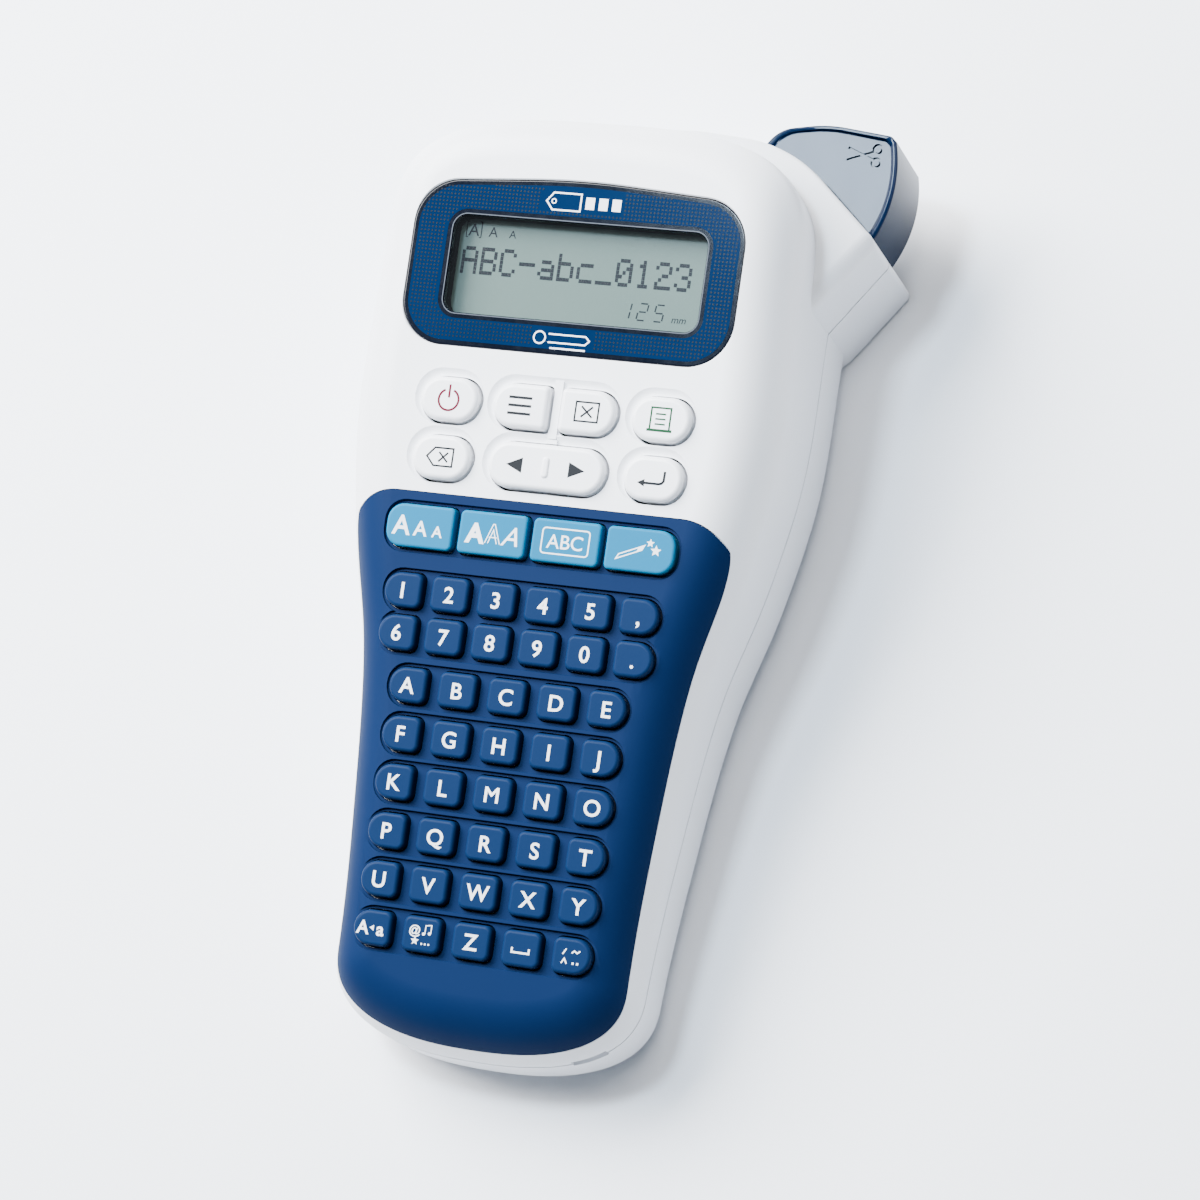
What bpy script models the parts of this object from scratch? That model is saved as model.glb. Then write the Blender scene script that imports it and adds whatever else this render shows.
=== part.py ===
"""A handheld label maker: two case halves, keypad, display, cutter lever, tape drive, cells and back cover.

The case rests on its back on the plane z = 0. +Y runs from the grip to the head, +Z comes out of the keys, and the
keyed front face leans by FACE_TILT about X. Sizes are in millimetres and become metres when a mesh is made.
"""

import math

import bmesh
import bpy
from mathutils import Matrix, Vector

MM = 0.001

# Front face
FACE_TILT = math.radians(9.5)
FACE_HEIGHT = 44.2  # above the rest plane, at y = 0

# Body outline, seen from the front
HEAD_TOP = 96.1
HEAD_WIDEST = 66.0
HEAD_HALF_WIDTH = 47.4
HEAD_SQUARENESS = 3.2
FOOT_END = -103.5
FOOT_WIDEST = -84.5
FOOT_HALF_WIDTH = 34.7
FOOT_SQUARENESS = 2.4
SIDE_STATIONS = ((-51.0, 36.2), (-21.0, 39.1), (4.5, 44.8), (31.0, 48.2))  # (y, half width)
OUTLINE_POINTS = 72

# Case
FRONT_FILLET = 12.0
REAR_FILLET = 7.0
FILLET_STEPS = 5
CASE_WALL = 2.8
PARTING_HEIGHT = 18.2
PARTING_TILT = math.radians(1.2)
PART_GAP = 0.3
STEP = 0.001  # between two rings at one height

# Shoulder housing beside the head
SHOULDER_CORNER = (58.7, 80.2)
HOUSING_FLOOR = 1.0
HOUSING_WALL = 1.6
SHOULDER_LIP = 1.2
SHOULDER_HEIGHT = 34.9  # of its top surface at the corner
SHOULDER_SLOPE_X = -0.262
SHOULDER_SLOPE_Y = 0.129

# Cutter lever
PIVOT = (31.0, 94.5)
LEVER_RADIUS = 29.7
LEVER_ARC_START = math.radians(-27.5)
LEVER_ARC_END = math.radians(15.5)
LEVER_SWING = math.radians(16.0)
LEVER_BOTTOM = 15.4
LEVER_HEIGHT = 32.2  # of its top surface, level with the shoulder corner
LEVER_WALL = 1.6
LEVER_BOSS_RADIUS = 2.8
PIN_RADIUS = 1.2
PIN_BOTTOM = 5.3
SPRING_WIRE = 0.35
SPRING_TURNS = 4
TAPE_WIDTH = 12.0
TAPE_SLOT = 1.5
BLADE_LENGTH = 7.0
BLADE_THICKNESS = 0.5
BLADE_SETBACK = 1.2  # behind the tape slot, at rest

# Blue keypad panel
PANEL_TOP = 11.35
PANEL_CORNER = 14.0
PANEL_THICKNESS = 1.5
PANEL_DEPTH = 5.8

# Display
WINDOW_SIZE = (75.2, 37.3)
WINDOW_CENTRE = 62.2
WINDOW_CORNER = 10.0
WINDOW_THICKNESS = 1.5
WINDOW_ARCH = 2.0  # of its top edge
WINDOW_ARCH_RADIUS = 180.0
GLASS_CENTRE = (0.5, 61.4)
GLASS_SIZE = (57.7, 21.2)
GLASS_CORNER = 3.0
FRAME_RIM = 2.0
FRAME_DEPTH = 2.4
PANEL_GLASS_THICKNESS = 2.4

# Keys
KEY_TRAVEL = 0.9
KEY_FIT = 0.35
KEY_BOTTOM = -3.9
WHITE_KEY_SIZE = (13.3, 9.6)
WHITE_KEY_RISE = 1.6
WHITE_UPPER_ROW = 31.8
WHITE_LOWER_ROW = 19.2
PAIR_KEY_WIDTH = 12.6
PAIR_OFFSET = 7.6
CURSOR_SIZE = (26.4, 10.0)
CYAN_KEY_SIZE = (15.4, 9.3)
CYAN_PITCH = 16.65
CYAN_ROW = 4.0
CYAN_RISE = 1.2
SMALL_KEY_SIZE = (8.6, 7.6)
SMALL_KEY_RISE = 1.1
NUMBER_PITCH = 10.71
NUMBER_ROWS = (-9.8, -18.9)
LETTER_PITCH = 11.28
LETTER_ROWS = (-29.8, -40.2, -50.5, -60.9, -71.2, -81.6)
KEYPAD_CENTRE = -0.6
KEY_CORNER = 1.6
KEY_BEVEL = 0.5
STRIP_THICKNESS = 0.8

# Electronics
MAT_THICKNESS = 1.2
BOARD_THICKNESS = 1.6
BOARD_INSET = 12.0
BOARD_TOP = 36.0
CHIP_SIZE = (12.0, 12.0, 1.4)
CHIP_PLACE = -31.0

# Cells
CELL_RADIUS = 5.25
CELL_LENGTH = 43.3
CELL_NUB = (1.9, 1.2)
CELL_COUNT = 6
CELL_GAP = 0.5
CELL_PITCH = 2 * CELL_RADIUS + CELL_GAP
CELL_FIRST = -84.0
CONTACT_THICKNESS = 0.5
TRAY_WALL = 1.2

# Back cover
COVER_RIM = 10.5
COVER_THICKNESS = 2.0
COVER_FIT = 0.35

# Tape drive
CASSETTE_SIZE = (64.0, 52.0, 14.6)
CASSETTE_CENTRE = (4.0, 58.0)
CASSETTE_NOTCH = (15.0, 17.0)
PLATE_BOTTOM = 19.0
PLATE_THICKNESS = 1.6
PLATE_SIZE = (72.0, 54.0)
PLATE_CENTRE = (0.0, 57.0)
GEAR_MODULE = 0.8
GEAR_THICKNESS = 3.6
GEAR_RAISE = 2.2
PINION_TEETH = 10
REDUCTION_TEETH = 30
IDLER_TEETH = 24
PLATEN_TEETH = 20
PLATEN_AXIS = (32.5, 75.5)
IDLER_BEARING = math.radians(188.0)
REDUCTION_BEARING = math.radians(203.0)
PINION_BEARING = math.radians(180.0)
AXLE_RADIUS = 1.5
PLATEN_RADIUS = 4.2
MOTOR_RADIUS = 9.5
MOTOR_HEIGHT = 12.0
HEAD_BLOCK_SIZE = (3.0, 9.0)

# Fasteners
SCREW_STATIONS = ((46.0, 7.492), (-24.0, 7.861))  # (y, distance in from the side)
SCREW_HEAD_RADIUS = 2.4
SCREW_HEAD_HEIGHT = 2.0
SCREW_SHANK_RADIUS = 1.2
SCREW_LENGTH = 24.0
SCREW_RECESS = 1.0
BOSS_RADIUS = 3.3
FOOT_NOTCH = (8.0, 2.6, 1.4)
FOOT_NOTCH_X = 25.0


# ---------------------------------------------------------------- shapes


def face_height(y):
    """Height of the flat front face above the rest plane."""
    return FACE_HEIGHT + y * math.tan(FACE_TILT)


def shoulder_height(x, y):
    """Height of the sloping top of the shoulder housing."""
    across = SHOULDER_SLOPE_X * (x - SHOULDER_CORNER[0])
    along = SHOULDER_SLOPE_Y * (y - SHOULDER_CORNER[1])
    return SHOULDER_HEIGHT + across + along


def lever_height(y):
    """Height of the cutter lever's top surface, which is parallel to the front face."""
    return LEVER_HEIGHT + (y - SHOULDER_CORNER[1]) * math.tan(FACE_TILT)


def side_width(y):
    """Half width of the grip and waist: a smooth curve through the stations, upright at both ends."""
    ends = ((FOOT_WIDEST, FOOT_HALF_WIDTH), (HEAD_WIDEST, HEAD_HALF_WIDTH))
    knots = (ends[0], *SIDE_STATIONS, ends[1])
    slopes = [0.0]
    for before, after in zip(knots, knots[2:]):
        slopes.append((after[1] - before[1]) / (after[0] - before[0]))
    slopes.append(0.0)
    index = max(i for i in range(len(knots) - 1) if i == 0 or knots[i][0] <= y)
    (y0, w0), (y1, w1) = knots[index], knots[index + 1]
    span = y1 - y0
    t = (y - y0) / span
    rise = slopes[index] * t * (1 - t) ** 2 - slopes[index + 1] * (1 - t) * t**2
    return w0 + (w1 - w0) * t**2 * (3 - 2 * t) + rise * span


def screw_places():
    """Where the case screws stand, along the sides."""
    return [(side * (side_width(y) - edge), y) for y, edge in SCREW_STATIONS for side in (-1, 1)]


def quarter(half_width, height, squareness, steps):
    """A rounded corner from (0, height) to (half_width, 0), squarer than an ellipse."""
    points = []
    for step in range(steps + 1):
        angle = math.pi / 2 * step / steps
        across = half_width * math.sin(angle) ** (2 / squareness)
        along = height * math.cos(angle) ** (2 / squareness)
        points.append((across, along))
    return points


def right_side():
    """The body outline's right half, from the middle of the foot to the middle of the head, in fine steps."""
    steps = 40
    foot = quarter(FOOT_HALF_WIDTH, FOOT_WIDEST - FOOT_END, FOOT_SQUARENESS, steps)
    head = quarter(HEAD_HALF_WIDTH, HEAD_TOP - HEAD_WIDEST, HEAD_SQUARENESS, steps)
    points = [(x, FOOT_WIDEST - y) for x, y in foot]
    for step in range(1, steps):
        y = FOOT_WIDEST + (HEAD_WIDEST - FOOT_WIDEST) * step / steps
        points.append((side_width(y), y))
    points += [(x, HEAD_WIDEST + y) for x, y in reversed(head)]
    return points


def spread(points, count):
    """The same open curve in count steps, closer together where it turns."""
    vectors = [Vector(b) - Vector(a) for a, b in zip(points, points[1:])]
    length = sum(v.length for v in vectors)
    walked = [0.0]
    for index, vector in enumerate(vectors):
        turn = abs(vectors[index - 1].angle_signed(vector)) if index else 0.0
        walked.append(walked[-1] + vector.length / length + turn / math.pi)
    chosen = []
    for step in range(count + 1):
        target = walked[-1] * step / count
        index = min(max(i for i, w in enumerate(walked) if w <= target + 1e-9), len(vectors) - 1)
        share = (target - walked[index]) / (walked[index + 1] - walked[index])
        chosen.append(Vector(points[index]).lerp(Vector(points[index + 1]), share))
    return chosen


def body_outline():
    """The body outline as a loop that runs anticlockwise from the middle of the foot."""
    right = spread(right_side(), OUTLINE_POINTS // 2)
    left = [Vector((-p.x, p.y)) for p in reversed(right[1:-1])]
    return right + left


def inset(loop, distance):
    """The loop moved inwards by distance, with mitred corners."""
    moved = []
    for index, point in enumerate(loop):
        before = (point - loop[index - 1]).normalized()
        after = (loop[(index + 1) % len(loop)] - point).normalized()
        inward = Vector((-before.y - after.y, before.x + after.x)).normalized()
        lean = inward.dot(Vector((-before.y, before.x)))
        moved.append(point + inward * distance / lean)
    return moved


def rounded(corners, distance=0.0, steps=4):
    """A loop through (x, y, radius) corners, moved inwards by distance and then rounded."""
    sharp = inset([Vector(corner[:2]) for corner in corners], distance)
    loop = []
    for index, corner in enumerate(sharp):
        to_before = (sharp[index - 1] - corner).normalized()
        to_after = (sharp[(index + 1) % len(sharp)] - corner).normalized()
        turn_left = to_before.x * to_after.y - to_before.y * to_after.x < 0
        radius = corners[index][2] + (-distance if turn_left else distance)
        if corners[index][2] == 0 or radius <= 0.05:
            loop.append(corner)
            continue
        half = to_before.angle(to_after) / 2
        middle = (to_before + to_after).normalized()
        centre = corner + middle * radius / math.sin(half)
        start = corner + to_before * radius / math.tan(half) - centre
        end = corner + to_after * radius / math.tan(half) - centre
        sweep = -start.angle_signed(end)
        for step in range(steps + 1):
            loop.append(centre + Matrix.Rotation(sweep * step / steps, 2) @ start)
    return loop


def box_corners(centre, size, radius):
    """Corners of a rounded rectangle for rounded()."""
    x, y = centre
    w, h = size[0] / 2, size[1] / 2
    return [(x - w, y - h, radius), (x + w, y - h, radius), (x + w, y + h, radius), (x - w, y + h, radius)]


def circle(centre, radius, count=24):
    """A round loop."""
    turns = [2 * math.pi * step / count for step in range(count)]
    return [Vector((centre[0] + radius * math.cos(a), centre[1] + radius * math.sin(a))) for a in turns]


def polar(centre, distance, angle):
    """The point at this distance and angle from centre."""
    return centre[0] + distance * math.cos(angle), centre[1] + distance * math.sin(angle)


# ---------------------------------------------------------------- objects


def clear_scene():
    for obj in list(bpy.data.objects):
        bpy.data.objects.remove(obj)


def material(name, colour, roughness, metallic=0.0):
    """A Principled material with a plain colour."""
    made = bpy.data.materials.new(name)
    made.use_nodes = True
    shader = made.node_tree.nodes["Principled BSDF"]
    shader.inputs["Base Color"].default_value = (*colour, 1.0)
    shader.inputs["Roughness"].default_value = roughness
    shader.inputs["Metallic"].default_value = metallic
    return made


def add_object(name, points, faces, look=None, parent=None):
    """A new mesh object from points in millimetres. Without a look it is a cutter, left out of the part."""
    mesh = bpy.data.meshes.new(name)
    mesh.from_pydata([Vector(p) * MM for p in points], [], faces)
    tool = bmesh.new()
    tool.from_mesh(mesh)
    bmesh.ops.recalc_face_normals(tool, faces=tool.faces)
    tool.to_mesh(mesh)
    tool.free()
    mesh.shade_smooth()
    mesh.set_sharp_from_angle(angle=math.radians(35))
    obj = bpy.data.objects.new(name, mesh)
    obj.parent = parent
    bpy.context.scene.collection.objects.link(obj)
    if look:
        mesh.materials.append(look)
    else:
        obj.hide_render = True
        obj.display_type = "WIRE"
    return obj


def loft(name, rings, look=None, parent=None):
    """A closed solid through rings of equal length, with a flat cap at each end."""
    count = len(rings[0])
    points = [point for ring in rings for point in ring]
    faces = [list(reversed(range(count)))]
    for level in range(len(rings) - 1):
        low = level * count
        high = low + count
        for i in range(count):
            j = (i + 1) % count
            faces.append([low + i, low + j, high + j, high + i])
    faces.append([len(points) - count + i for i in range(count)])
    return add_object(name, points, faces, look, parent)


def ring(loop, height):
    """A loop lifted to a height, which is a number or a function of x and y."""
    return [(p.x, p.y, height(p.x, p.y) if callable(height) else height) for p in loop]


def prism(name, loop, low, high, look=None, parent=None):
    """An upright solid over a loop, between two heights."""
    return loft(name, [ring(loop, low), ring(loop, high)], look, parent)


def turned(name, profile, look=None, parent=None, count=24):
    """A solid turned about Z from (radius, height) pairs, closed by flat ends."""
    return loft(name, [ring(circle((0, 0), r, count), z) for r, z in profile], look, parent)


def combine(obj, operation, *others):
    """Boolean modifiers on obj, one for each other object."""
    for other in others:
        modifier = obj.modifiers.new(f"{operation.lower()} {other.name}", "BOOLEAN")
        modifier.operation = operation
        modifier.solver = "EXACT"
        modifier.object = other
    return obj


def place(obj, x, y, z, turn=0.0):
    """Moves obj to a place in millimetres and turns it about Z."""
    obj.location = Vector((x, y, z)) * MM
    obj.rotation_euler.z = turn
    return obj


# ---------------------------------------------------------------- case


def envelope(name, shrink, look=None):
    """The body's outer shape, or the shape that lies shrink millimetres inside it."""
    outline = body_outline()
    rings = []
    for step in range(FILLET_STEPS + 1):
        angle = math.pi / 2 * step / FILLET_STEPS
        radius = REAR_FILLET - shrink
        loop = inset(outline, shrink + radius * (1 - math.sin(angle)))
        rings.append(ring(loop, shrink + radius * (1 - math.cos(angle))))
    for step in range(FILLET_STEPS + 1):
        angle = math.pi / 2 * step / FILLET_STEPS
        radius = FRONT_FILLET - shrink
        loop = inset(outline, shrink + radius * (1 - math.cos(angle)))
        depth = (shrink + radius * (1 - math.sin(angle))) / math.cos(FACE_TILT)
        rings.append(ring(loop, lambda x, y, d=depth: face_height(y) - d))
    return loft(name, rings, look)


def housing_corners():
    """The shoulder housing seen from the front. Its left part lies inside the head."""
    return [
        (40.0, 56.0, 0),
        (47.75, 63.8, 0),
        (*SHOULDER_CORNER, 1.9),
        (38.5, 97.6, 26.0),
        (19.0, 97.4, 20.0),
        (2.0, 95.0, 0),
        (2.0, 80.0, 0),
    ]


def housing(name, shrink, lip):
    """The shoulder housing's solid, or its hollow when shrunk."""
    loop = rounded(housing_corners(), shrink)
    return prism(name, loop, HOUSING_FLOOR + shrink, lambda x, y: shoulder_height(x, y) - lip)


def lever_slot():
    """The space that the cutter lever swings through, a little larger than the lever."""
    reach = LEVER_RADIUS + 0.4
    first = LEVER_ARC_START - LEVER_SWING - math.radians(2.5)
    arc = [polar(PIVOT, reach, first + math.radians(6.5) * step) for step in range(11)]
    heel = [polar(PIVOT, LEVER_BOSS_RADIUS + 1.4, math.radians(angle)) for angle in (120, 150, 180, 210, 240)]
    loop = [Vector(p) for p in arc + heel]
    return prism("lever slot", loop, LEVER_BOTTOM - 0.4, lambda x, y: shoulder_height(x, y) - SHOULDER_LIP)


def shoulder_direction():
    """Unit vector along the straight outer edge of the shoulder, towards its corner."""
    return (Vector(SHOULDER_CORNER) - Vector((38.5, 97.6))).normalized()


def tape_exit():
    """Where the tape leaves through the shoulder's outer wall."""
    return Vector(SHOULDER_CORNER) - shoulder_direction() * 8.5


def tape_slot():
    """The notch in the wall that the tape leaves through."""
    along = shoulder_direction() * TAPE_SLOT / 2
    out = Vector((-along.y, along.x)).normalized() * HOUSING_WALL
    middle = tape_exit()
    loop = [middle - along - out * 1.2, middle + along - out * 1.2, middle + along + out, middle - along + out]
    low = LEVER_BOTTOM - 0.2 - TAPE_WIDTH - 0.3
    return prism("tape slot", loop, low, LEVER_BOTTOM)


def half_space(name, above):
    """A large block above or below the parting plane, leaving half the gap."""
    size = 140.0
    gap = PART_GAP / 2
    low, high = (gap, size) if above else (-size, -gap)
    block = prism(name, rounded(box_corners((0, 0), (2 * size, 2 * size), 0)), low, high)
    block.location.z = PARTING_HEIGHT * MM
    block.rotation_euler.x = PARTING_TILT
    return block


def raw_case(name, look):
    """The whole hollow case before it is parted."""
    case = envelope(name, 0.0, look)
    hollow = envelope(f"{name} hollow", CASE_WALL)
    combine(hollow, "UNION", housing(f"{name} housing hollow", HOUSING_WALL, SHOULDER_LIP))
    combine(case, "UNION", housing(f"{name} housing", 0.0, 0.0))
    return combine(case, "DIFFERENCE", hollow)


def screw_holes(case):
    """Counterbored holes for the case screws."""
    for index, (x, y) in enumerate(screw_places()):
        head = SCREW_RECESS + SCREW_HEAD_HEIGHT + PART_GAP
        end = SCREW_RECESS + SCREW_HEAD_HEIGHT + SCREW_LENGTH + PART_GAP
        wide = SCREW_HEAD_RADIUS + PART_GAP
        narrow = SCREW_SHANK_RADIUS + PART_GAP
        profile = [(wide, -1.0), (wide, head), (narrow, head + STEP), (narrow, end)]
        combine(case, "DIFFERENCE", place(turned(f"{case.name} screw hole {index}", profile, count=16), x, y, 0))


def bosses(case):
    """Posts around the case screws, from wall to wall."""
    limit = envelope(f"{case.name} boss limit", CASE_WALL - 0.5)
    for index, (x, y) in enumerate(screw_places()):
        post = prism(f"{case.name} boss {index + 1}", circle((x, y), BOSS_RADIUS, 16), 0.0, 80.0)
        combine(case, "UNION", combine(post, "INTERSECT", limit))


def foot_notch():
    """The small rectangular notch low on the right of the foot."""
    outline = body_outline()
    near = min((p for p in outline if p.y < FOOT_WIDEST and p.x > 0), key=lambda p: abs(p.x - FOOT_NOTCH_X))
    index = outline.index(near)
    along = (outline[index + 1] - outline[index - 1]).normalized()
    width, height, depth = FOOT_NOTCH
    loop = rounded(box_corners((0, 0), (width, 2 * depth), 0))
    block = prism("foot notch", loop, -height / 2, height / 2)
    low = PARTING_HEIGHT + near.y * math.tan(PARTING_TILT)
    return place(block, near.x, near.y, low, math.atan2(along.y, along.x))


def make_front_case(look, face):
    """The white front half with its openings."""
    case = raw_case("front_case", look)
    bosses(case)
    combine(case, "INTERSECT", half_space("front half", True))
    screw_holes(case)
    combine(case, "DIFFERENCE", lever_slot(), panel_bed(face), window_bed(face), glass_opening(face), foot_notch())
    combine(case, "DIFFERENCE", *key_openings(face, white_key_plan(), "case"))
    combine(case, "DIFFERENCE", *row_openings(face))
    return case


def make_rear_case(look):
    """The white rear half with the opening for the back cover."""
    case = raw_case("rear_case", look)
    bosses(case)
    x, y = PIVOT
    combine(case, "UNION", prism("pivot boss", circle((x, y), LEVER_BOSS_RADIUS, 16), 1.6, LEVER_BOTTOM + 2))
    combine(case, "INTERSECT", half_space("rear half", False))
    screw_holes(case)
    opening = inset(body_outline(), COVER_RIM - COVER_FIT)
    combine(case, "DIFFERENCE", lever_slot(), tape_slot(), foot_notch())
    combine(case, "DIFFERENCE", prism("cover opening", opening, -1.0, CASE_WALL + 1.0))
    pin_hole = prism("pivot hole", circle((x, y), PIN_RADIUS + PART_GAP, 16), PIN_BOTTOM - PART_GAP, 30.0)
    return combine(case, "DIFFERENCE", pin_hole)


def make_back_cover(look):
    """The cover over the cassette and the cells. Its origin is on its hinge edge, at the foot."""
    edge = FOOT_END + COVER_RIM
    loop = [p - Vector((0, edge)) for p in inset(body_outline(), COVER_RIM)]
    cover = prism("back_cover", loop, 0.0, COVER_THICKNESS, look)
    return place(cover, 0, edge, 0)


# ---------------------------------------------------------------- keypad and display


def panel_outline(grow):
    """The keypad panel seen from the front, reaching past the body's sides."""
    side = HEAD_HALF_WIDTH + 3
    top = PANEL_TOP + grow
    waist = side_width(PANEL_TOP) + grow
    corners = [(-side, FOOT_END - 4, 0), (side, FOOT_END - 4, 0), (side, top - PANEL_CORNER, 0)]
    corners += [(waist, top - PANEL_CORNER, 0), (waist, top, PANEL_CORNER)]
    corners += [(-waist, top, PANEL_CORNER), (-waist, top - PANEL_CORNER, 0), (-side, top - PANEL_CORNER, 0)]
    return rounded(corners, steps=8)


def panel_zone(name, grow):
    """The block that the keypad panel is cut out with."""
    loop = panel_outline(grow)
    depth = (PANEL_DEPTH + grow) / math.cos(FACE_TILT)
    return prism(name, loop, lambda x, y: face_height(y) - depth, lambda x, y: face_height(y) + 5)


def panel_bed(face):
    """What the front case loses so that the keypad panel lies flush in it."""
    bed = panel_zone("panel bed", PART_GAP)
    return combine(bed, "DIFFERENCE", envelope("panel bed floor", PANEL_THICKNESS + PART_GAP))


def make_keypad_panel(look, face):
    """The blue skin over the grip."""
    panel = envelope("keypad_panel", 0.0, look)
    combine(panel, "DIFFERENCE", envelope("panel underside", PANEL_THICKNESS))
    combine(panel, "INTERSECT", panel_zone("panel zone", 0.0))
    return combine(panel, "DIFFERENCE", *key_openings(face, panel_key_plan(), "panel"))


def window_loop(distance=0.0):
    """The display window's outline with a gently arched top."""
    width, height = WINDOW_SIZE
    low, top = WINDOW_CENTRE - height / 2, WINDOW_CENTRE + height / 2
    side = width / 2
    shoulder = top - WINDOW_ARCH
    corners = [(-side, low, WINDOW_CORNER), (side, low, WINDOW_CORNER), (side, shoulder, WINDOW_CORNER)]
    corners += [(0, top + WINDOW_ARCH * 0.2, WINDOW_ARCH_RADIUS), (-side, shoulder, WINDOW_CORNER)]
    return rounded(corners, distance, 6)


def window_bed(face):
    loop = window_loop(-PART_GAP)
    return prism("window bed", loop, -WINDOW_THICKNESS - 2 * PART_GAP, 3.0, parent=face)


def glass_opening(face):
    loop = rounded(box_corners(GLASS_CENTRE, GLASS_SIZE, GLASS_CORNER), -FRAME_RIM - PART_GAP)
    return prism("glass opening", loop, -CASE_WALL - 2, 0.0, parent=face)


def make_display(looks, face):
    """The clear window printed on its border, the dark frame behind it and the liquid crystal panel."""
    low = -WINDOW_THICKNESS - PART_GAP
    prism("display_window", window_loop(), low, -PART_GAP, looks["window"], face)
    frame_loop = rounded(box_corners(GLASS_CENTRE, GLASS_SIZE, GLASS_CORNER), -FRAME_RIM)
    frame_top = low - PART_GAP
    frame_low = frame_top - FRAME_DEPTH
    frame = prism("display_frame", frame_loop, frame_low, frame_top, looks["dark plastic"], face)
    inner = rounded(box_corners(GLASS_CENTRE, GLASS_SIZE, GLASS_CORNER))
    combine(frame, "DIFFERENCE", prism("frame opening", inner, frame_low - 1, 1.0, parent=face))
    glass_top = frame_low - PART_GAP
    prism("display_glass", frame_loop, glass_top - PANEL_GLASS_THICKNESS, glass_top, looks["glass"], face)


def key_loop(size, left, right, distance=0.0):
    """A key's outline about its own centre, with its left and right corner radii."""
    corners = box_corners((0, 0), size, 0)
    radii = (left, right, right, left)
    return rounded([(x, y, r) for (x, y, _), r in zip(corners, radii)], distance, 3)


def white_key_plan():
    """(name, x, y, size, left radius, right radius) for each white key."""
    w, h = WHITE_KEY_SIZE
    end = h / 2 - 0.1
    pair = (PAIR_KEY_WIDTH, h)
    long_end = CURSOR_SIZE[1] / 2 - 0.1
    return [
        ("power_key", -23.0, WHITE_UPPER_ROW, (w, h), end, end),
        ("menu_key", 0.9 - PAIR_OFFSET, WHITE_UPPER_ROW, pair, end, 1.2),
        ("escape_key", 0.9 + PAIR_OFFSET, WHITE_UPPER_ROW, pair, 1.2, end),
        ("print_key", 25.0, WHITE_UPPER_ROW, (w, h), end, end),
        ("backspace_key", -23.0, WHITE_LOWER_ROW, (w, h), end, end),
        ("cursor_key", 1.0, WHITE_LOWER_ROW, CURSOR_SIZE, long_end, long_end),
        ("enter_key", 25.0, WHITE_LOWER_ROW, (w, h), end, end),
    ]


def row_plan(names, y, pitch, size, round_end, square_end):
    """A row of keys about the keypad's centre, round at its two ends."""
    count = len(names)
    plan = []
    for index, name in enumerate(names):
        x = KEYPAD_CENTRE + (index - (count - 1) / 2) * pitch
        left = round_end if index == 0 else square_end
        right = round_end if index == count - 1 else square_end
        plan.append((name, x, y, size, left, right))
    return plan


def cyan_key_plan():
    names = ["text_size_key", "text_style_key", "text_frame_key", "decoration_key"]
    return row_plan(names, CYAN_ROW, CYAN_PITCH, CYAN_KEY_SIZE, 3.6, 1.2)


def small_row_plans():
    """Name and key plan of each row of number and letter keys."""
    rows = []
    end = SMALL_KEY_SIZE[1] / 2 - 0.1
    for index, y in enumerate(NUMBER_ROWS):
        name = f"number_keys_row_{index + 1}"
        rows.append((name, row_plan([name] * 6, y, NUMBER_PITCH, SMALL_KEY_SIZE, end, KEY_CORNER)))
    for index, y in enumerate(LETTER_ROWS):
        name = f"letter_keys_row_{index + 1}"
        rows.append((name, row_plan([name] * 5, y, LETTER_PITCH, SMALL_KEY_SIZE, end, KEY_CORNER)))
    return rows


def panel_key_plan():
    return cyan_key_plan() + [key for _, plan in small_row_plans() for key in plan]


def key_openings(face, plan, label):
    """A hole with clearance for each key of the plan."""
    holes = []
    for index, (name, x, y, size, left, right) in enumerate(plan):
        loop = key_loop(size, left, right, -KEY_FIT)
        hole = prism(f"{label} hole {index} {name}", loop, -CASE_WALL - 3, 3.0, parent=face)
        holes.append(place(hole, x, y, 0))
    return holes


def row_openings(face):
    """One long opening in the front case under each row of the keypad panel."""
    rows = [cyan_key_plan()] + [plan for _, plan in small_row_plans()]
    openings = []
    for index, plan in enumerate(rows):
        _, first, y, size, radius, _ = plan[0]
        last = plan[-1][1]
        loop = key_loop((last - first + size[0], size[1]), radius, radius, -KEY_FIT)
        hole = prism(f"row opening {index}", loop, -CASE_WALL - 3, 3.0, parent=face)
        openings.append(place(hole, (first + last) / 2, y, 0))
    return openings


def key_rings(size, left, right, rise):
    """A key cap's rings: straight sides and a bevelled top."""
    side = key_loop(size, left, right)
    top = key_loop(size, left, right, KEY_BEVEL)
    return [ring(side, KEY_BOTTOM), ring(side, rise - KEY_BEVEL), ring(top, rise)]


def make_key(entry, rise, look, face):
    """One key, with its origin on the face at its own centre."""
    name, x, y, size, left, right = entry
    return place(loft(name, key_rings(size, left, right, rise), look, face), x, y, 0)


def make_key_row(name, plan, look, face):
    """A row of keys moulded on one strip, with its origin on the face at the row's middle."""
    first, last = plan[0][1], plan[-1][1]
    middle = (first + last) / 2
    y, size, end = plan[0][2], plan[0][3], plan[0][4]
    strip_loop = key_loop((last - first + size[0], size[1]), end, end)
    strip = place(prism(name, strip_loop, KEY_BOTTOM, KEY_BOTTOM + STRIP_THICKNESS, look, face), middle, y, 0)
    for index, (_, x, _, cap_size, left, right) in enumerate(plan):
        rings = key_rings(cap_size, left, right, SMALL_KEY_RISE)
        rings[0] = [(px, py, KEY_BOTTOM + STRIP_THICKNESS / 2) for px, py, _ in rings[0]]
        cap = place(loft(f"{name} cap {index + 1}", rings, None, face), x, y, 0)
        combine(strip, "UNION", cap)
    return strip


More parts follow.
